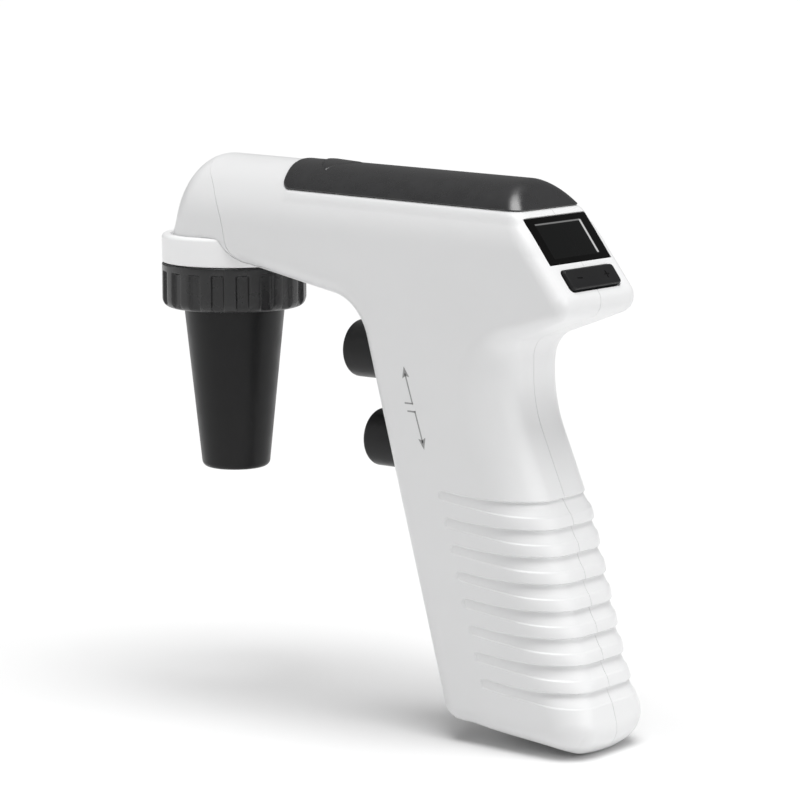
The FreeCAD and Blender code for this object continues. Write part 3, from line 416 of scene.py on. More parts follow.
def tower(name, rings, frame=Matrix.Identity(4)):
    """A closed block from rings of points of equal count, one after another."""
    count, last = len(rings[0]), len(rings) - 1
    faces = [tuple(range(count))[::-1], tuple(range(last * count, (last + 1) * count))]
    for row in range(last):
        faces += strip(row * count, (row + 1) * count, count)
    piece = mesh_object(name, [point for ring in rings for point in ring], faces)
    piece.data.transform(frame)
    return outward(piece)


def circle(radius, height, segments):
    angles = np.arange(segments) * 2 * pi / segments
    return [(radius * cos(angle), radius * sin(angle), height) for angle in angles]


def lathe(name, corners, segments=96, radius_at=None):
    """A closed ring turned about the nose's axis from its section's corners (radius, height, rounding)."""
    path = rounded_path(corners)
    angles = np.arange(segments) * 2 * pi / segments if np.isscalar(segments) else np.asarray(segments)
    count = len(angles)
    vertices = []
    for radius, height in path:
        for angle in angles:
            reach = radius_at(radius, height, angle) if radius_at else radius
            vertices.append((reach * cos(angle), reach * sin(angle), height))
    faces = []
    for row in range(len(path)):
        faces += strip(row * count, (row + 1) % len(path) * count, count)
    return outward(mesh_object(name, vertices, faces))


def rod(name, base, axis, radius, length, segments=48):
    """A plain round cutter."""
    return tower(name, [circle(radius, height, segments) for height in (0.0, length)], aimed(base, axis))


def slab(name, path, low, high, frame=Matrix.Identity(4)):
    """A prism: an (x, z) outline between two y values, in a frame."""
    return tower(name, [[(x, y, z) for x, z in path] for y in (low, high)], frame)


def carve(piece, tool, operation="DIFFERENCE"):
    """Apply one boolean and drop its tool."""
    step = piece.modifiers.new("carve", "BOOLEAN")
    step.operation, step.solver, step.object = operation, "MANIFOLD", tool
    graph = bpy.context.evaluated_depsgraph_get()
    made = bpy.data.meshes.new_from_object(piece.evaluated_get(graph))
    piece.modifiers.clear()
    old = piece.data
    piece.data = made
    bpy.data.meshes.remove(old)
    drop(tool)
    return piece


def drop(tool):
    mesh = tool.data
    bpy.data.objects.remove(tool)
    bpy.data.meshes.remove(mesh)


def joined(name, *tools):
    """Cutters that don't touch each other, as one."""
    shape = bmesh.new()
    for tool in tools:
        shape.from_mesh(tool.data)
        drop(tool)
    mesh = bpy.data.meshes.new(name)
    shape.to_mesh(mesh)
    shape.free()
    return linked(name, mesh)


def rows(low, high, pitch, *fine):
    """Lattice rows at a pitch, with closer rows (centre, reach, step) where a surface turns sharply."""
    values = [np.arange(low, high + pitch / 2, pitch)]
    for centre, reach, step in fine:
        values[0] = values[0][(values[0] < centre - reach - step) | (values[0] > centre + reach + step)]
        values.append(np.arange(centre - reach, centre + reach + step / 2, step))
    return spaced(values, 4, 0.05)


def net_piece(name, field, xs, ys, zs, frame=None):
    """A closed net on a field's zero level; the lattice may lie in a tilted frame."""
    x, y, z = np.meshgrid(xs, ys, zs, indexing="ij")
    points = np.stack([x, y, z], axis=-1)
    if frame is not None:
        matrix = np.array(frame)
        points = points @ matrix[:3, :3].T + matrix[:3, 3]
    vertices, faces = net_surface(field, points, field(points[..., 0], points[..., 1], points[..., 2]))
    return outward(mesh_object(name, vertices, faces))


# ---------------- reference frames

ARCH_FRAME = Matrix.Translation((0, 0, AXIS_Z)) @ Matrix.Rotation(radians(1.3), 4, "Y")
FACE_FRAME = Matrix.Translation((FACE_POINT[0], 0, FACE_POINT[1])) @ Matrix.Rotation(radians(53.13), 4, "Y")
ARCH_FRAME_BACK = ARCH_FRAME.inverted()


def in_arch(x, y, z):
    """Row coordinates turned into the arch's frame: along it, across it and above its axis."""
    matrix = np.array(ARCH_FRAME_BACK)[:3]
    return tuple(row[0] * x + row[1] * y + row[2] * z + row[3] for row in matrix)


# ---------------- casing

COVER_FRONT = 28.6
COVER_FLOOR = 10.1
COVER_PROUD = 0.4
COVER_CORNER = 2.2
COVER_GAP = 0.14
COVER_BORE = 15.15
BOW_X = 54.2
BOW_RADIUS = 28.9
NOTCH_REAR = 130.0
NOTCH_TOP = 30.0
LIP_SWELL = 0.32
LIP_WIDTH = 0.75
WALL = 2.05
SHELL_SCREWS = [(22.0, 72.0), (66.4, 24.4), (105.6, 51.4), (85.0, -43.0), (114.0, -46.5)]
SCREW_SEAT = 13.4
JACK_X = 103.5
ROCKER_START = 15.6
ROCKER_END = 21.2
ROCKER_MIDDLE = 18.4
ROCKER_HALF = 10.2
ROCKER_GAP = 0.45
BUTTONS = {"aspirate": (43.4, 35.8, 21.3), "dispense": (50.2, 13.1, 20.6)}
CAP_GAP = 0.14
SHELL_GAP = 0.1
CAP_SEAM = [
    (-9.0, 93.0), (-3.6, 86.6), (1.2, 80.9), (5.2, 77.2), (7.9, 73.4), (10.2, 68.9), (11.3, 64.6),
    (11.9, 61.3), (12.9, 59.2), (15.2, 57.7), (19.0, 56.8), (25.0, 56.2), (30.0, 53.0), (34.0, 48.0),
]


def shell_field(x, y, z):
    """The casing with the slim swell under the battery cover's side edges."""
    along, _, above = in_arch(x, y, z)
    below = COVER_FLOOR - above
    across_lip = smoothstep(0.0, LIP_WIDTH, below) * smoothstep(3.4, LIP_WIDTH, below)
    return casing_field(x, y, z) - LIP_SWELL * across_lip * smoothstep(0.3, 3.0, along - COVER_FRONT)


def hollow_field(x, y, z):
    """The casing's inside, without the grooves."""
    return casing_field(x, y, z) - groove_depth(x, z) + WALL


def smooth_curve(points, steps=8):
    """A Catmull-Rom curve through the points."""
    points = np.array([points[0], *points, points[-1]], float)
    curve = []
    for a, b, c, d in zip(points, points[1:], points[2:], points[3:]):
        for step in range(steps):
            t = step / steps
            curve.append(0.5 * (2 * b + (c - a) * t + (2 * a - 5 * b + 4 * c - d) * t * t
                                + (3 * b - a - 3 * c + d) * t ** 3))
    curve.append(points[-1])
    return np.array(curve)


def seam_blade(gap):
    """A thin curved cutter along the front cap's seam."""
    curve = smooth_curve(CAP_SEAM)
    direction = np.gradient(curve, axis=0)
    direction /= np.linalg.norm(direction, axis=1)[:, None]
    square = np.stack([direction[:, 1], -direction[:, 0]], axis=1)
    path = np.concatenate([curve + square * gap / 2, (curve - square * gap / 2)[::-1]])
    return slab("seam_blade", path, -22.0, 22.0)


def cover_notch():
    """The battery cover's space in the arch's frame, with its bowed front."""
    path = rounded_path([(COVER_FRONT, COVER_FLOOR, COVER_CORNER), (NOTCH_REAR, COVER_FLOOR, 0),
                         (NOTCH_REAR, NOTCH_TOP, 0), (COVER_FRONT, NOTCH_TOP, 0)])
    rings = []
    for across in np.arange(-18.0, 18.1, 0.75):
        bow = BOW_X - (BOW_RADIUS ** 2 - across ** 2) ** 0.5 - COVER_FRONT
        rings.append([(x + (bow if x < BOW_X else 0.0), across, z) for x, z in path])
    return tower("cover_notch", rings, ARCH_FRAME)


def casing_openings():
    """Cutters for every opening but the battery notch; none touches another."""
    tools = []
    for x, z, _ in BUTTONS.values():
        tools.append(rod("button_hole", (x, 0, z), (1, 0, 0), 7.8, 24.0, 96))
    display = rounded_path([(-0.1, -6, 0), (13.6, -6, 0), (13.6, 5, 0), (-0.1, 5, 0)])
    tools.append(slab("display_hole", display, -12.8, 12.8, FACE_FRAME))
    jack = jack_frame()
    tools.append(rod("jack_hole", jack @ Vector((0, 0, -5)), jack.to_3x3() @ Vector((0, 0, 1)), 4.1, 9.0))
    tools.append(rod("nose_hole", (0, 0, 52.0), (0, 0, 1), 14.5, 9.0, 96))
    for x, z in SHELL_SCREWS:
        tools.append(rod("counterbore", (x, SCREW_SEAT, z), (0, 1, 0), 2.4, 9.0))
    tools.append(stacked("rocker_hole", FACE_FRAME, [(-6, 0.0), (5, 0.0)], ROCKER_START - ROCKER_GAP,
                         ROCKER_END + ROCKER_GAP, ROCKER_HALF + ROCKER_GAP, 1.5))
    return joined("openings", *tools)


def jack_frame():
    """At the jack's mouth on the foot's underside, with Z pointing out."""
    height = FOOT_POINT[1] - (JACK_X - FOOT_POINT[0]) * tan(FOOT_SLOPE)
    return aimed((JACK_X, 0, height), (FOOT_OUT[0], 0, FOOT_OUT[1]))


def stacked(name, frame, layers, start, end, half, radius):
    """A block of rounded rectangles, stacked as (height, inset) pairs from the bottom up."""
    rings = []
    for height, inset in layers:
        left, right, side, corner = start + inset, end - inset, half - inset, radius - inset
        path = rounded_path([(left, -side, corner), (right, -side, corner),
                             (right, side, corner), (left, side, corner)])
        rings.append([(u, v, height) for u, v in path])
    return tower(name, rings, frame)


def edge_layers(low, high, radius):
    """Layers of a block whose top edge is rounded."""
    angles = np.linspace(0, pi / 2, 7)
    rounded = [(high - radius + radius * sin(turn), radius - radius * cos(turn)) for turn in angles]
    return [(low, 0.0), *rounded]


def islands(piece):
    """Split a piece into its separate bodies, biggest first."""
    mesh = piece.data
    edges = read(mesh.edges, "vertices", 2, int)
    label = np.arange(len(mesh.vertices))
    while True:
        lowest = np.minimum(label[edges[:, 0]], label[edges[:, 1]])
        before = label.copy()
        np.minimum.at(label, edges[:, 0], lowest)
        np.minimum.at(label, edges[:, 1], lowest)
        label = label[label]
        if (label == before).all():
            break
    places = read(mesh.vertices, "co", 3)
    faces = [tuple(face.vertices) for face in mesh.polygons]
    first = np.array([label[face[0]] for face in faces])
    parts = []
    for value, _ in sorted(zip(*np.unique(label, return_counts=True)), key=lambda pair: -pair[1]):
        used = np.flatnonzero(label == value)
        number = {vertex: index for index, vertex in enumerate(used)}
        own = [tuple(number[vertex] for vertex in faces[index]) for index in np.flatnonzero(first == value)]
        parts.append(mesh_object(f"island_{len(parts)}", places[used], own))
    drop(piece)
    return parts


# ---------------- finishing a piece

SHARP_ANGLE = 32.0
FINISHES = {}


def finish_of(maker):
    """The one material of each finish, made and named when it is first asked for."""
    if maker not in FINISHES:
        FINISHES[maker] = maker()
        FINISHES[maker].name = maker.__name__ + "_finish"
    return FINISHES[maker]


def finish_piece(piece, name, body, maker, smooth=SHARP_ANGLE):
    """Scale to metres, shade, give it its finish and let it ride, in place of the CAD node of that name."""
    stands_in = name in frame["nodes"]
    mesh = piece.data
    piece.name = mesh.name = name + "_look" if stands_in else name
    mesh.transform(Matrix.Scale(MM, 4))
    mesh.materials.clear()
    mesh.materials.append(finish_of(maker))
    if not mesh.has_custom_normals:
        shade_smooth(mesh, smooth)
    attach(piece, body)
    if stands_in:
        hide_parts(name)


def shade_smooth(mesh, sharp):
    """Smooth shading, but for the edges sharper than an angle in degrees."""
    mesh.polygons.foreach_set("use_smooth", [True] * len(mesh.polygons))
    mesh.set_sharp_from_angle(angle=radians(sharp))


def lay_normals(piece, field):
    """Exact normals on the faces that lie on a field's surface; the rest are shaded by angle."""
    mesh = piece.data
    shade_smooth(mesh, SHARP_ANGLE)
    places = read(mesh.vertices, "co", 3)
    slope = gradient(field, places, 0.03)
    slope /= np.maximum(np.linalg.norm(slope, axis=1), 1e-6)[:, None]
    on_surface = np.abs(field(*places.T)) < 0.02
    owners = read(mesh.loops, "vertex_index", kind=int)
    totals = read(mesh.polygons, "loop_total", kind=int)
    faces = np.repeat(np.arange(len(totals)), totals)
    flat = read(mesh.polygons, "normal", 3)
    agree = (slope[owners] * flat[faces]).sum(axis=1) > 0.6
    failed = np.bincount(faces, ~(on_surface[owners] & agree), minlength=len(totals)) > 0
    normals = np.where(failed[faces][:, None], 0.0, slope[owners])
    mesh.normals_split_custom_set(normals.tolist())


# ---------------- casing pieces

CASING_PITCH = 0.6
HOLLOW_PITCH = 1.5
SCRAP_FACES = 500


def boss_space():
    """Where the far side's screw heads sit in solid plastic."""
    return joined("bosses", *(rod("boss", (x, 9.0, z), (0, 1, 0), 3.0, 9.0) for x, z in SHELL_SCREWS))


def middle_blade(gap):
    """The cutter between the left and right shells, behind the cap's seam."""
    curve = smooth_curve(CAP_SEAM)
    path = np.concatenate([curve, [(34.0, -80.0), (150.0, -80.0), (150.0, 92.0)]])
    return slab("middle_blade", path, -gap / 2, gap / 2)


def make_casing():
    """The outer skin, hollowed, opened and split into the cap and the two shells."""
    x, y, z = casing_lattice(CASING_PITCH)
    points = np.stack([x, y, z], axis=-1)
    vertices, faces = net_surface(shell_field, points, shell_field(x, y, z))
    casing = outward(mesh_object("casing", vertices, faces))
    xs, ys, zs = (rows(low, high, HOLLOW_PITCH) for low, high in ((-18, 127), (-17.25, 17.25), (-61.5, 87)))
    hollow = net_piece("hollow", hollow_field, xs, ys, zs)
    carve(casing, carve(hollow, boss_space()))
    carve(casing, cover_notch())
    carve(casing, casing_openings())
    pilots = [rod("pilot", (x, 5.0, z), (0, 1, 0), 1.3, 8.6) for x, z in SHELL_SCREWS]
    carve(casing, joined("pilots", *pilots))
    carve(casing, seam_blade(CAP_GAP))
    carve(casing, middle_blade(SHELL_GAP))
    named = {}
    for part in islands(casing):
        low = lowest_corner(part)
        role = "front_cap" if low[0] < -10 else "left_shell" if low[1] < -10 else "right_shell"
        if role in named or len(part.data.polygons) < SCRAP_FACES:
            drop(part)
        else:
            named[role] = part
    for role, part in named.items():
        lay_normals(part, shell_field)
        finish_piece(part, role, "root", white_plastic)


def ring_cutter():
    """The barrel's own shape, grown by a hair, to seat the collar against."""
    grown = lambda x, y, z: np.maximum(casing_field(x, y, z) - 0.1, x - 36.0)
    return net_piece("ring_cutter", grown, rows(-18, 40, 0.8), rows(-17.4, 17.4, 0.8), rows(44, 88, 0.8))


def make_collar():
    section = [(6.3, 57.0, 0), (6.3, 49.2, 0.4), (14.0, 49.2, 0.4), (14.0, 55.6, 0), (19.25, 55.6, 0.5),
               (19.25, 63.2, 1.0), (16.85, 63.2, 0.15), (16.85, 57.15, 0), (8.7, 57.15, 0), (8.7, 57.0, 0)]
    ring = lathe("collar", section, segments=144)
    carve(ring, ring_cutter())
    finish_piece(ring, "collar_ring", "root", collar_plastic)


# ---------------- battery cover

RIDGE_X = 33.0
RIDGE_LENGTH = 11.5
RIDGE_HEIGHT = 0.43
RIDGE_HALF = 7.9
RIDGE_BEND = 0.09


def thumb_ridge(along, across):
    """Height of the cover's thumb ridge: a crescent with a steep front edge, lower to the rear."""
    aside = np.abs(across)
    run = along - RIDGE_X - RIDGE_BEND * aside * aside
    length = RIDGE_LENGTH * (1 - aside / RIDGE_HALF)
    rise = smoothstep(-0.1, 0.35, run) * smoothstep(0.4, -0.4, run - length)
    return RIDGE_HEIGHT * rise * (1 - 0.7 * np.clip(run / np.maximum(length, 0.1), 0, 1))


def cover_field(x, y, z):
    along, across, above = in_arch(x, y, z)
    skin = casing_field(x, y, z) - COVER_PROUD - np.where(above > 10, thumb_ridge(along, across), 0.0)
    ahead = np.hypot(np.minimum(along - BOW_X, 0.0), across) - BOW_RADIUS + COVER_GAP
    region = rounded_max(COVER_FLOOR + COVER_GAP - above, ahead, COVER_CORNER - COVER_GAP)
    outer = rounded_max(skin, region, 0.3)
    face = (x - FACE_POINT[0]) * FACE_OUT[0] + (z - FACE_POINT[1]) * FACE_OUT[1]
    inside = np.maximum(np.hypot(across, above) - COVER_BORE, face + 1.6)
    return np.maximum(outer, -inside)


def make_cover():
    xs = rows(24.2, 107.2, 0.55, (27.1, 2.1, 0.25), (37.8, 7.6, 0.3))
    ys = rows(-14.8, 14.8, 0.3)
    zs = rows(9.4, 17.9, 0.36, (COVER_FLOOR + 0.3, 0.4, 0.1))
    cover = net_piece("cover", cover_field, xs, ys, zs, ARCH_FRAME)
    lay_normals(cover, cover_field)
    finish_piece(cover, "battery_cover", "cover", dark_grey_plastic)


# ---------------- nose pieces

NUT_RADIUS = 19.3
SLOT_COUNT = 18
SLOT_HALF = 1.6
SLOT_DEPTH = 0.85
SLOT_TOP = 53.3
SLOT_TURN = radians(18.4)


def make_nut():
    # Lengths of arc from a slot's middle, close together at its walls.
    arcs = np.array([-3.37, -2.65, -2.0, -1.82, -1.66, -1.5, -1.34, -0.7,
                     0, 0.7, 1.34, 1.5, 1.66, 1.82, 2.0, 2.65])
    pitch = 2 * pi / SLOT_COUNT
    angles = np.concatenate([SLOT_TURN + slot * pitch + arcs / NUT_RADIUS for slot in range(SLOT_COUNT)])

    def slotted(radius, height, angle):
        arc = abs(((angle - SLOT_TURN) / pitch + 0.5) % 1.0 - 0.5) * pitch * NUT_RADIUS
        beside = smoothstep(SLOT_HALF + 0.3, SLOT_HALF - 0.2, arc)
        below = smoothstep(SLOT_TOP + 0.3, SLOT_TOP - 0.25, height)
        return radius - max(0.0, radius - NUT_RADIUS + SLOT_DEPTH) * float(beside * below)

    lifts = (-5.5, -3.5, -1.5, -0.4, -0.25, -0.12, 0, 0.12, 0.25, 0.4)
    wall = [(NUT_RADIUS, SLOT_TOP + lift, 0) for lift in lifts]
    section = [(14.3, 55.4, 0.2), (14.3, 46.5, 0), (13.8, 46.5, 0), (13.8, 43.5, 0.5),
               (NUT_RADIUS, 43.5, 2.4), *wall, (NUT_RADIUS, 55.4, 0.5)]
    nut = lathe("nut", section, segments=angles, radius_at=slotted)
    finish_piece(nut, "ring_nut", "nut", nut_plastic_painted_light, smooth=50)


def make_cone():
    section = [(6.6, 0, 0.5), (9.02, 0, 1.7), (13.5, 43.4, 0.8), (13.5, 46.6, 0), (14.1, 46.6, 0.15),
               (14.1, 48.9, 0.15), (12.9, 48.9, 0), (12.9, 47.8, 0), (10.9, 47.8, 0), (10.9, 48.9, 0),
               (9.6, 48.9, 0.2), (9.6, 20.0, 0), (7.4, 20.0, 0), (7.4, 1.5, 0), (6.6, 1.5, 0)]
    cone = lathe("cone", section, segments=144)
    finish_piece(cone, "nose_cone", "nose", black_plastic)


GRIP_RINGS = 5
GRIP_PITCH = 2.3


def make_holder():
    """The silicone sleeve; gripping rings run round its bore."""
    rings = []
    for number in range(GRIP_RINGS):
        top = 12.4 - GRIP_PITCH * number
        rings += [(5.0, top, 0.15), (5.3, top - 0.5, 0.15), (5.3, top - 1.3, 0.15), (5.0, top - 1.8, 0.15)]
    section = [(6.5, 0, 0.4), (6.5, 1.6, 0), (7.3, 1.6, 0), (7.3, 21.5, 0.3), (3.0, 21.5, 0.3),
               (3.0, 15.0, 0), (4.0, 14.0, 0), (5.0, 14.0, 0), *rings, (5.0, 0, 0.7)]
    holder = lathe("holder", section, segments=96)
    finish_piece(holder, "pipette_holder", "nose", silicone, smooth=50)


# ---------------- buttons, display and rocker

def turned_solid(name, corners, base, axis, segments):
    """A solid turned about its axis, from a section that starts and ends on the axis."""
    path = rounded_path(corners)
    vertices = [(0.0, 0.0, path[0][1])]
    for radius, height in path[1:-1]:
        vertices += circle(radius, height, segments)
    vertices.append((0.0, 0.0, path[-1][1]))
    last = len(vertices) - 1
    top = last - segments
    faces = [(0, 1 + (i + 1) % segments, 1 + i) for i in range(segments)]
    for start in range(1, top, segments):
        faces += strip(start, start + segments, segments)
    faces += [(top + i, top + (i + 1) % segments, last) for i in range(segments)]
    piece = mesh_object(name, vertices, faces)
    piece.data.transform(aimed(base, axis))
    return outward(piece)


def make_buttons():
    for role, (x, z, length) in BUTTONS.items():
        section = [(0, 0.5, 0), (2.2, 0.44, 0), (4.4, 0.25, 0), (6.0, 0.0, 1.0), (7.5, 0, 1.3),
                   (7.5, length - 1.2, 0), (8.6, length - 1.2, 0.2), (8.6, length, 0.2), (4.3, length, 0.2),
                   (4.3, length - 8, 0), (1.7, length - 8, 0), (1.7, length - 11, 0), (0, length - 11, 0)]
        button = turned_solid("button", section, (x, 0, z), (1, 0, 0), 96)
        finish_piece(button, role + "_button", role + "_trigger", black_plastic)


def make_lens():
    layers = [(-1.2, 0), (-0.12, 0), (-0.05, 0.03), (-0.01, 0.1), (0.0, 0.2)]
    lens = stacked("lens", FACE_FRAME, layers, 0.0, 13.5, 12.7, 0.5)
    finish_piece(lens, "display_lens", "root", display_window)


MARK_ACROSS = 5.6
MARK_LINE = 0.5


def mark(name, across, wide, tall):
    """A shallow engraving with round ends in the rocker's top."""
    place = FACE_FRAME @ Matrix.Translation((0, across, 0))
    return stacked(name, place, [(0.72, 0.12), (1.0, 0.0), (1.5, 0.0)], ROCKER_MIDDLE - tall / 2,
                   ROCKER_MIDDLE + tall / 2, wide / 2, min(wide, tall) / 2 - 0.01)


def make_rocker():
    rocker = stacked("rocker", FACE_FRAME, edge_layers(-1.2, 1.0, 0.5), ROCKER_START, ROCKER_END,
                     ROCKER_HALF, 1.05)
    carve(rocker, mark("minus", -MARK_ACROSS, 2.4, MARK_LINE))
    carve(rocker, mark("plus_across", MARK_ACROSS, 2.2, MARK_LINE))
    carve(rocker, mark("plus_down", MARK_ACROSS, MARK_LINE, 2.2))
    finish_piece(rocker, "speed_rocker", "rocker", black_plastic)


# ---------------- marks, screws

ARROW_UP = [(71.7, 35.1), (72.15, 33.2), (74.5, 25.9), (72.2, 25.9)]
ARROW_DOWN = [(78.2, 14.6), (77.75, 16.4), (75.3, 23.9), (73.1, 23.9)]
ARROW_LINE = 0.38
HEAD_LENGTH = 2.9
HEAD_HALF = 1.15


def arrow_marks(name, route):
    """A printed arrow: a head, a leaning line and a short tick, just proud of the left shell."""
    tip, *shaft = (np.array(point) for point in route)
    ahead = unit(tip - shaft[0])
    square = np.array([-ahead[1], ahead[0]]) * HEAD_HALF
    base = tip - ahead * HEAD_LENGTH
    strokes = [[tip, base + square, base + ahead * 0.5, base - square]]
    for start, end in zip(shaft, shaft[1:]):
        extra = unit(end - start) * ARROW_LINE / 2
        side = np.array([-extra[1], extra[0]])
        strokes.append([start - extra + side, end + extra + side, end + extra - side, start - extra - side])
    arrow = joined(name, *(slab("stroke", path, -16.745, -16.70) for path in strokes))
    finish_piece(arrow, name, "root", printed_grey, smooth=20)


def make_screws():
    """The shell screws, with domed heads and crossed recesses."""
    screws = []
    for x, z in SHELL_SCREWS:
        section = [(0, -21.4, 0), (0.7, -21.4, 0.2), (1.2, -20.2, 0), (1.2, 0.02, 0), (2.3, 0.02, 0.15),
                   (2.3, 0.9, 0.7), (1.0, 1.62, 0), (0, 1.7, 0)]
        screw = turned_solid("screw", section, (x, SCREW_SEAT, z), (0, 1, 0), 48)
        for turn in (0.6, 0.6 + pi / 2):
            across = np.array([cos(turn), sin(turn)]) * 1.25
            side = np.array([-sin(turn), cos(turn)]) * 0.2
            corners = (-across - side, across - side, across + side, side - across)
            carve(screw, slab("recess", [(x, z) + corner for corner in corners], 14.2, 17.0))
        screws.append(screw)
    finish_piece(joined("screws", *screws), "housing_screws", "root", steel)


# ---------------- material tools

class Finish:
    """A node material built step by step on one Principled shader."""

    def __init__(self, roughness=0.4, **sockets):
        self.material = bpy.data.materials.new("finish")
        self.material.use_nodes = True
        self.nodes = self.material.node_tree.nodes
        self.links = self.material.node_tree.links
        self.shader = self.nodes["Principled BSDF"]
        self.shader.inputs["Roughness"].default_value = roughness
        for socket, value in sockets.items():
            self.shader.inputs[socket.replace("_", " ")].default_value = value
        self.place = self.nodes.new("ShaderNodeTexCoord").outputs["Object"]

    def feed(self, socket, value):
        """A number goes straight onto the socket; an output is linked to it."""
        if isinstance(value, bpy.types.NodeSocket):
            self.links.new(value, socket)
        else:
            socket.default_value = value

    def node(self, kind, **inputs):
        node = self.nodes.new("ShaderNode" + kind)
        for name, value in inputs.items():
            self.feed(node.inputs[name], value)
        return node

    def noise(self, scale, detail=2.0, roughness=0.5, stretch=None):
        place = self.node("Mapping", Scale=stretch, Vector=self.place).outputs[0] if stretch else self.place
        node = self.node("TexNoise", Scale=scale, Detail=detail, Roughness=roughness, Vector=place)
        return node.outputs["Fac"]

    def ramp(self, factor, *stops):
        """Colours or greys along a factor: (position, value)."""
        node = self.node("ValToRGB", Fac=factor)
        elements = node.color_ramp.elements
        while len(elements) < len(stops):
            elements.new(0.5)
        for element, (position, value) in zip(elements, stops):
            element.position = position
            element.color = (*((value,) * 3 if np.isscalar(value) else value), 1.0)
        return node.outputs["Color"]

    def maths(self, operation, *values):
        node = self.node("Math")
        node.operation = operation
        for socket, value in zip(node.inputs, values):
            self.feed(socket, value)
        return node.outputs["Value"]

    def colour(self, output):
        self.links.new(output, self.shader.inputs["Base Color"])
        return self

    def rough(self, factor, low, high):
        self.links.new(self.ramp(factor, (0.3, low), (0.7, high)), self.shader.inputs["Roughness"])
        return self

    def bump(self, height, distance, strength=1.0):
        """Relief of a real depth in metres."""
        node = self.node("Bump", Strength=strength, Distance=distance, Height=height)
        self.links.new(node.outputs["Normal"], self.shader.inputs["Normal"])
        return self


def tinted(colour, change):
    return tuple(min(1.0, channel * change) for channel in colour)


def moulded(colour, roughness, grain, depth, variation=0.05, **sockets):
    """Moulded plastic or rubber: a faint cloudiness, uneven gloss and a fine spark-eroded grain."""
    finish = Finish(**sockets)
    cloud = finish.noise(55.0, 3.0)
    finish.colour(finish.ramp(cloud, (0.25, tinted(colour, 1 - variation)), (0.5, colour),
                              (0.78, tinted(colour, 1 + variation))))
    finish.rough(finish.noise(240.0, 4.0), roughness - 0.04, roughness + 0.05)
    finish.bump(finish.noise(grain, 3.0, 0.6), depth)
    return finish.material


def metal(colour, roughness, stretch):
    """Bare metal with fine drawing or rolling lines."""
    finish = Finish(Metallic=1.0)
    lines = finish.noise(900.0, 5.0, 0.65, stretch)
    stains = finish.noise(120.0, 3.0)
    finish.colour(finish.ramp(stains, (0.3, tinted(colour, 0.86)), (0.7, tinted(colour, 1.05))))
    finish.rough(lines, roughness - 0.06, roughness + 0.1)
    finish.bump(lines, 0.00002, 0.6)
    return finish.material


# ---------------- materials

def white_plastic():
    return moulded((0.78, 0.782, 0.785), 0.33, 2600.0, 0.000012, 0.012)


def black_plastic():
    return moulded((0.013, 0.013, 0.0135), 0.34, 2200.0, 0.00001, 0.12, Specular_IOR_Level=0.2)


# The ring nut's black plastic: glossier than black_plastic (real), and its lighter base colour is painted
# light, making up for reflections its upright wall misses.
def nut_plastic_painted_light():
    return moulded((0.023, 0.023, 0.0235), 0.28, 2600.0, 0.000006, 0.12, Specular_IOR_Level=0.4)


def collar_plastic():
    return moulded((0.92, 0.921, 0.923), 0.33, 2600.0, 0.000012, 0.012)


def dark_grey_plastic():
    return moulded((0.022, 0.022, 0.023), 0.28, 3000.0, 0.00001, 0.05, Specular_IOR_Level=0.9)


def silicone():
    return moulded((0.42, 0.43, 0.42), 0.5, 1500.0, 0.00002, 0.05, Subsurface_Weight=0.25,
                   Subsurface_Scale=0.002)


def silicone_hose():
    return moulded((0.6, 0.62, 0.6), 0.32, 900.0, 0.00003, 0.04, Transmission_Weight=0.35, IOR=1.41)


def black_rubber():
    return moulded((0.018, 0.018, 0.018), 0.62, 1400.0, 0.00004, 0.15)


def grey_plastic():
    return moulded((0.3, 0.31, 0.32), 0.45, 1800.0, 0.00003)


def pump_plastic():
    return moulded((0.1, 0.11, 0.13), 0.42, 1600.0, 0.00003, 0.08)


def switch_plastic():
    return moulded((0.05, 0.05, 0.055), 0.3, 2400.0, 0.00001, 0.1)


def wire_insulation():
    return moulded((0.42, 0.03, 0.025), 0.38, 1200.0, 0.00002, 0.08)


def clear_plastic():
    return moulded((0.82, 0.86, 0.88), 0.12, 700.0, 0.00001, 0.02, Transmission_Weight=0.85, IOR=1.49)


def membrane():
    finish = Finish()
    fibres = finish.noise(5200.0, 6.0, 0.75)
    finish.colour(finish.ramp(fibres, (0.3, 0.66), (0.7, 0.84)))
    finish.rough(fibres, 0.75, 0.9).bump(fibres, 0.00005)
    return finish.material


def cell_sleeve():
    """A heat-shrunk sleeve: green-blue film with long soft wrinkles."""
    finish = Finish()
    wrinkles = finish.noise(420.0, 3.0, 0.5, (0.15, 1.0, 1.0))
    finish.colour(finish.ramp(finish.noise(90.0), (0.3, (0.02, 0.11, 0.2)), (0.7, (0.03, 0.15, 0.26))))
    finish.rough(wrinkles, 0.22, 0.34).bump(wrinkles, 0.00006)
    return finish.material


def circuit_board():
    """Green solder mask with tracks and small pads under it."""
    finish = Finish()
    cells = finish.node("TexVoronoi", Scale=420.0, Vector=finish.place)
    cells.feature = "DISTANCE_TO_EDGE"
    tracks = cells.outputs["Distance"]
    finish.colour(finish.ramp(tracks, (0.03, (0.03, 0.16, 0.06)), (0.07, (0.008, 0.07, 0.03)),
                              (1.0, (0.008, 0.06, 0.03))))
    finish.rough(finish.noise(300.0), 0.25, 0.4).bump(tracks, 0.00004, 0.5)
    return finish.material


def display_glass():
    finish = Finish(0.1)
    cloud = finish.noise(60.0)
    finish.colour(finish.ramp(cloud, (0.3, (0.012, 0.014, 0.014)), (0.7, (0.018, 0.021, 0.02))))
    finish.rough(finish.noise(300.0), 0.06, 0.12)
    return finish.material


def face_offset(finish, direction):
    """Distance along a direction from the display face's top edge, in millimetres."""
    node = finish.node("VectorMath")
    node.operation = "DOT_PRODUCT"
    finish.feed(node.inputs[0], finish.place)
    node.inputs[1].default_value = direction
    start = float(np.dot(direction, (FACE_POINT[0], 0.0, FACE_POINT[1])))
    return finish.maths("MULTIPLY_ADD", node.outputs["Value"], 1.0 / MM, -start)


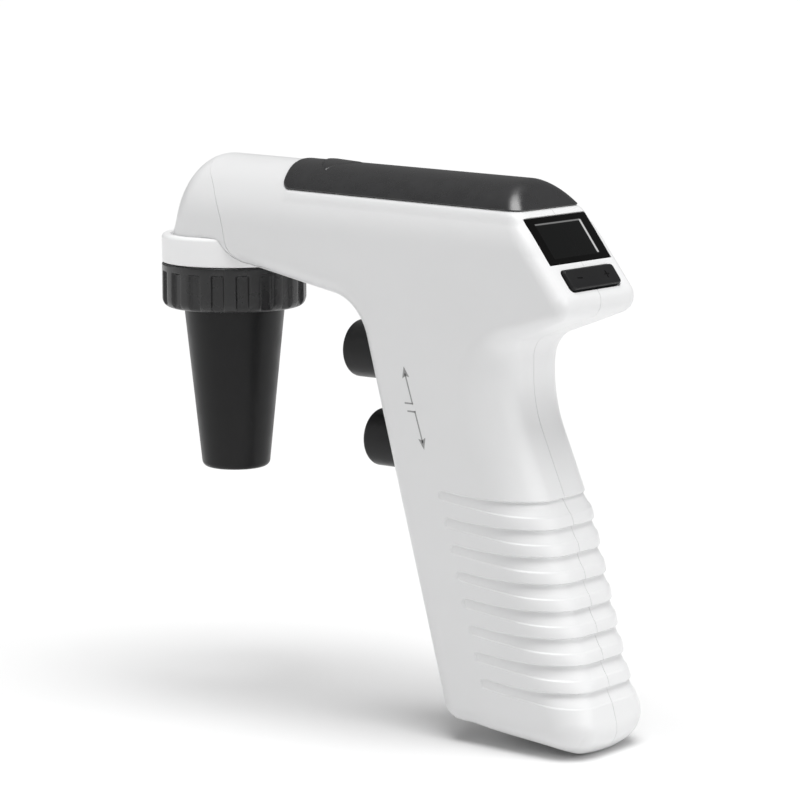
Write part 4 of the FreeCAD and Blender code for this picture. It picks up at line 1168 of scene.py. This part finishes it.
def bar(finish, value, low, high, soft):
    """1 between two limits, with soft edges."""
    distance = finish.maths("ABSOLUTE", finish.maths("SUBTRACT", value, (low + high) / 2))
    level = finish.maths("SUBTRACT", (high - low) / 2, distance)
    return finish.node("Clamp", Value=finish.maths("MULTIPLY_ADD", level, 1.0 / soft, 0.5)).outputs[0]


def display_window():
    """Glossy black glass with painted highlights: thin light lines along its top and far side stand in for
    reflections of the window's bevel.
    """
    finish = Finish(0.06, Specular_IOR_Level=0.08)
    down = face_offset(finish, (FACE_DOWN[0], 0.0, FACE_DOWN[1]))
    across = face_offset(finish, (0.0, 1.0, 0.0))
    base = finish.ramp(finish.noise(70.0), (0.3, 0.0035), (0.7, 0.005))
    # The first patch is the panel's own active area; the thin light lines along the top and the far side
    # are painted highlights, standing in for reflections.
    for panel_or_highlight_tone, down_bar, across_bar in (
            ((0.008, 0.0083, 0.0083, 1.0), (2.2, 11.9, 0.15), (-9.6, 8.9, 0.15)),
            ((0.17, 0.17, 0.17, 1.0), (1.75, 2.15, 0.2), (-9.6, 8.9, 0.3)),
            ((0.5, 0.5, 0.5, 1.0), (1.9, 11.6, 0.3), (8.5, 9.2, 0.25))):
        panel_or_highlight_patch = finish.maths("MULTIPLY", bar(finish, down, *down_bar), bar(finish, across, *across_bar))
        mix = finish.node("Mix")
        mix.data_type = "RGBA"
        for name, value in (("Factor", panel_or_highlight_patch), ("A", base), ("B", panel_or_highlight_tone)):
            finish.feed(mix.inputs[name], value)
        base = mix.outputs["Result"]
    finish.colour(base)
    finish.rough(finish.noise(260.0, 4.0), 0.05, 0.1)
    return finish.material


def printed_grey():
    """Pad-printed ink, a little broken at its edges."""
    finish = Finish()
    speckle = finish.noise(3600.0, 5.0, 0.7)
    finish.colour(finish.ramp(speckle, (0.3, 0.26), (0.62, 0.36), (0.85, 0.48)))
    finish.rough(speckle, 0.5, 0.7).bump(speckle, 0.00001)
    return finish.material


def steel():
    return metal((0.6, 0.6, 0.61), 0.28, (1.0, 0.1, 1.0))


def spring_steel():
    return metal((0.5, 0.5, 0.52), 0.25, (0.2, 1.0, 1.0))


def motor_can():
    return metal((0.55, 0.56, 0.58), 0.32, (1.0, 1.0, 0.08))


def aluminium():
    return metal((0.75, 0.76, 0.78), 0.35, (0.15, 1.0, 1.0))


def brass():
    return metal((0.72, 0.52, 0.24), 0.3, (1.0, 0.2, 1.0))


NODE_FINISH = {
    black_rubber: ["nose_o_ring", "valve_seals", "pump_diaphragm"],
    clear_plastic: ["filter_housing"],
    membrane: ["filter_membrane"],
    grey_plastic: ["nozzle_connector", "battery_tray", "pump_cradle", "charging_socket"],
    silicone_hose: ["air_tube", "suction_tube", "pressure_tube"],
    steel: ["aspirate_stem", "dispense_stem", "motor_shaft", "board_screws"],
    spring_steel: ["aspirate_spring", "dispense_spring"],
    aluminium: ["valve_block"],
    cell_sleeve: ["battery_cell"],
    brass: ["battery_contact_front", "battery_contact_rear", "eccentric_cam"],
    wire_insulation: ["battery_wires"],
    display_glass: ["display_module"],
    circuit_board: ["display_board", "main_board"],
    switch_plastic: ["rocker_switches", "trigger_switches"],
    motor_can: ["pump_motor"],
    pump_plastic: ["pump_body", "pump_head"],
}


def paint_frame():
    """Finishes for the CAD nodes that stay as they are."""
    for maker, nodes in NODE_FINISH.items():
        for node in nodes:
            mesh = frame["nodes"][node].data
            mesh.materials.clear()
            mesh.materials.append(finish_of(maker))


# ---------------- stage

def floor_paper():
    finish = Finish()
    finish.colour(finish.ramp(finish.noise(4.0), (0.3, 0.86), (0.7, 0.88)))
    finish.rough(finish.noise(40.0), 0.8, 0.9)
    return finish.material


def make_floor(height):
    shape = bmesh.new()
    bmesh.ops.create_grid(shape, x_segments=8, y_segments=8, size=6.0)
    mesh = bpy.data.meshes.new("floor")
    shape.to_mesh(mesh)
    shape.free()
    floor = linked("floor", mesh)
    floor.location = (0.05, 0.0, height)
    mesh.materials.append(finish_of(floor_paper))


def make_world(strength):
    world = bpy.data.worlds.new("studio")
    world.use_nodes = True
    background = world.node_tree.nodes["Background"]
    background.inputs["Color"].default_value = (1.0, 1.0, 1.0, 1.0)
    background.inputs["Strength"].default_value = strength
    bpy.context.scene.world = world


def daylight(name, towards, strength, spread):
    """A very soft lamp that lights the whole set evenly from one side."""
    light = bpy.data.lights.new(name, "SUN")
    light.energy, light.angle = strength, radians(spread)
    lamp = linked(name, light)
    lamp.rotation_euler = Vector(towards).to_track_quat("Z", "Y").to_euler()


CAMERA_PLACE = (0.5706, -0.6343, 0.1495)
CAMERA_TURN = radians(39.0)
CAMERA_RISE = radians(8.8)
CAMERA_ROLL = radians(-0.2)
CAMERA_LENS = 144.0


def make_camera():
    camera = bpy.data.cameras.new("camera")
    camera.lens, camera.sensor_width = CAMERA_LENS, 36.0
    camera.clip_start = 0.05
    holder = linked("camera", camera)
    level = cos(CAMERA_RISE)
    back = Vector((sin(CAMERA_TURN) * level, -cos(CAMERA_TURN) * level, sin(CAMERA_RISE)))
    right = Vector((cos(CAMERA_TURN), sin(CAMERA_TURN), 0))
    turn = Matrix((right, back.cross(right), back)).transposed().to_4x4()
    holder.matrix_world = Matrix.Translation(CAMERA_PLACE) @ turn @ Matrix.Rotation(CAMERA_ROLL, 4, "Z")
    bpy.context.scene.camera = holder


def make_stage():
    bpy.context.scene.view_settings.view_transform = "Standard"
    make_floor(CAD_BOX[0][2] - 0.0002)
    make_world(0.2)
    daylight("key", (0.14, -0.08, 0.98), 2.85, 46.0)
    daylight("front", (-0.85, -0.50, 0.20), 0.48, 50.0)
    daylight("back", (0.93, 0.20, 0.30), 1.0, 50.0)
    make_camera()


# ---------------- the object

make_casing()
make_collar()
make_cover()
make_nut()
make_cone()
make_holder()
make_buttons()
make_lens()
make_rocker()
arrow_marks("arrow_up", ARROW_UP)
arrow_marks("arrow_down", ARROW_DOWN)
make_screws()
paint_frame()
make_stage()
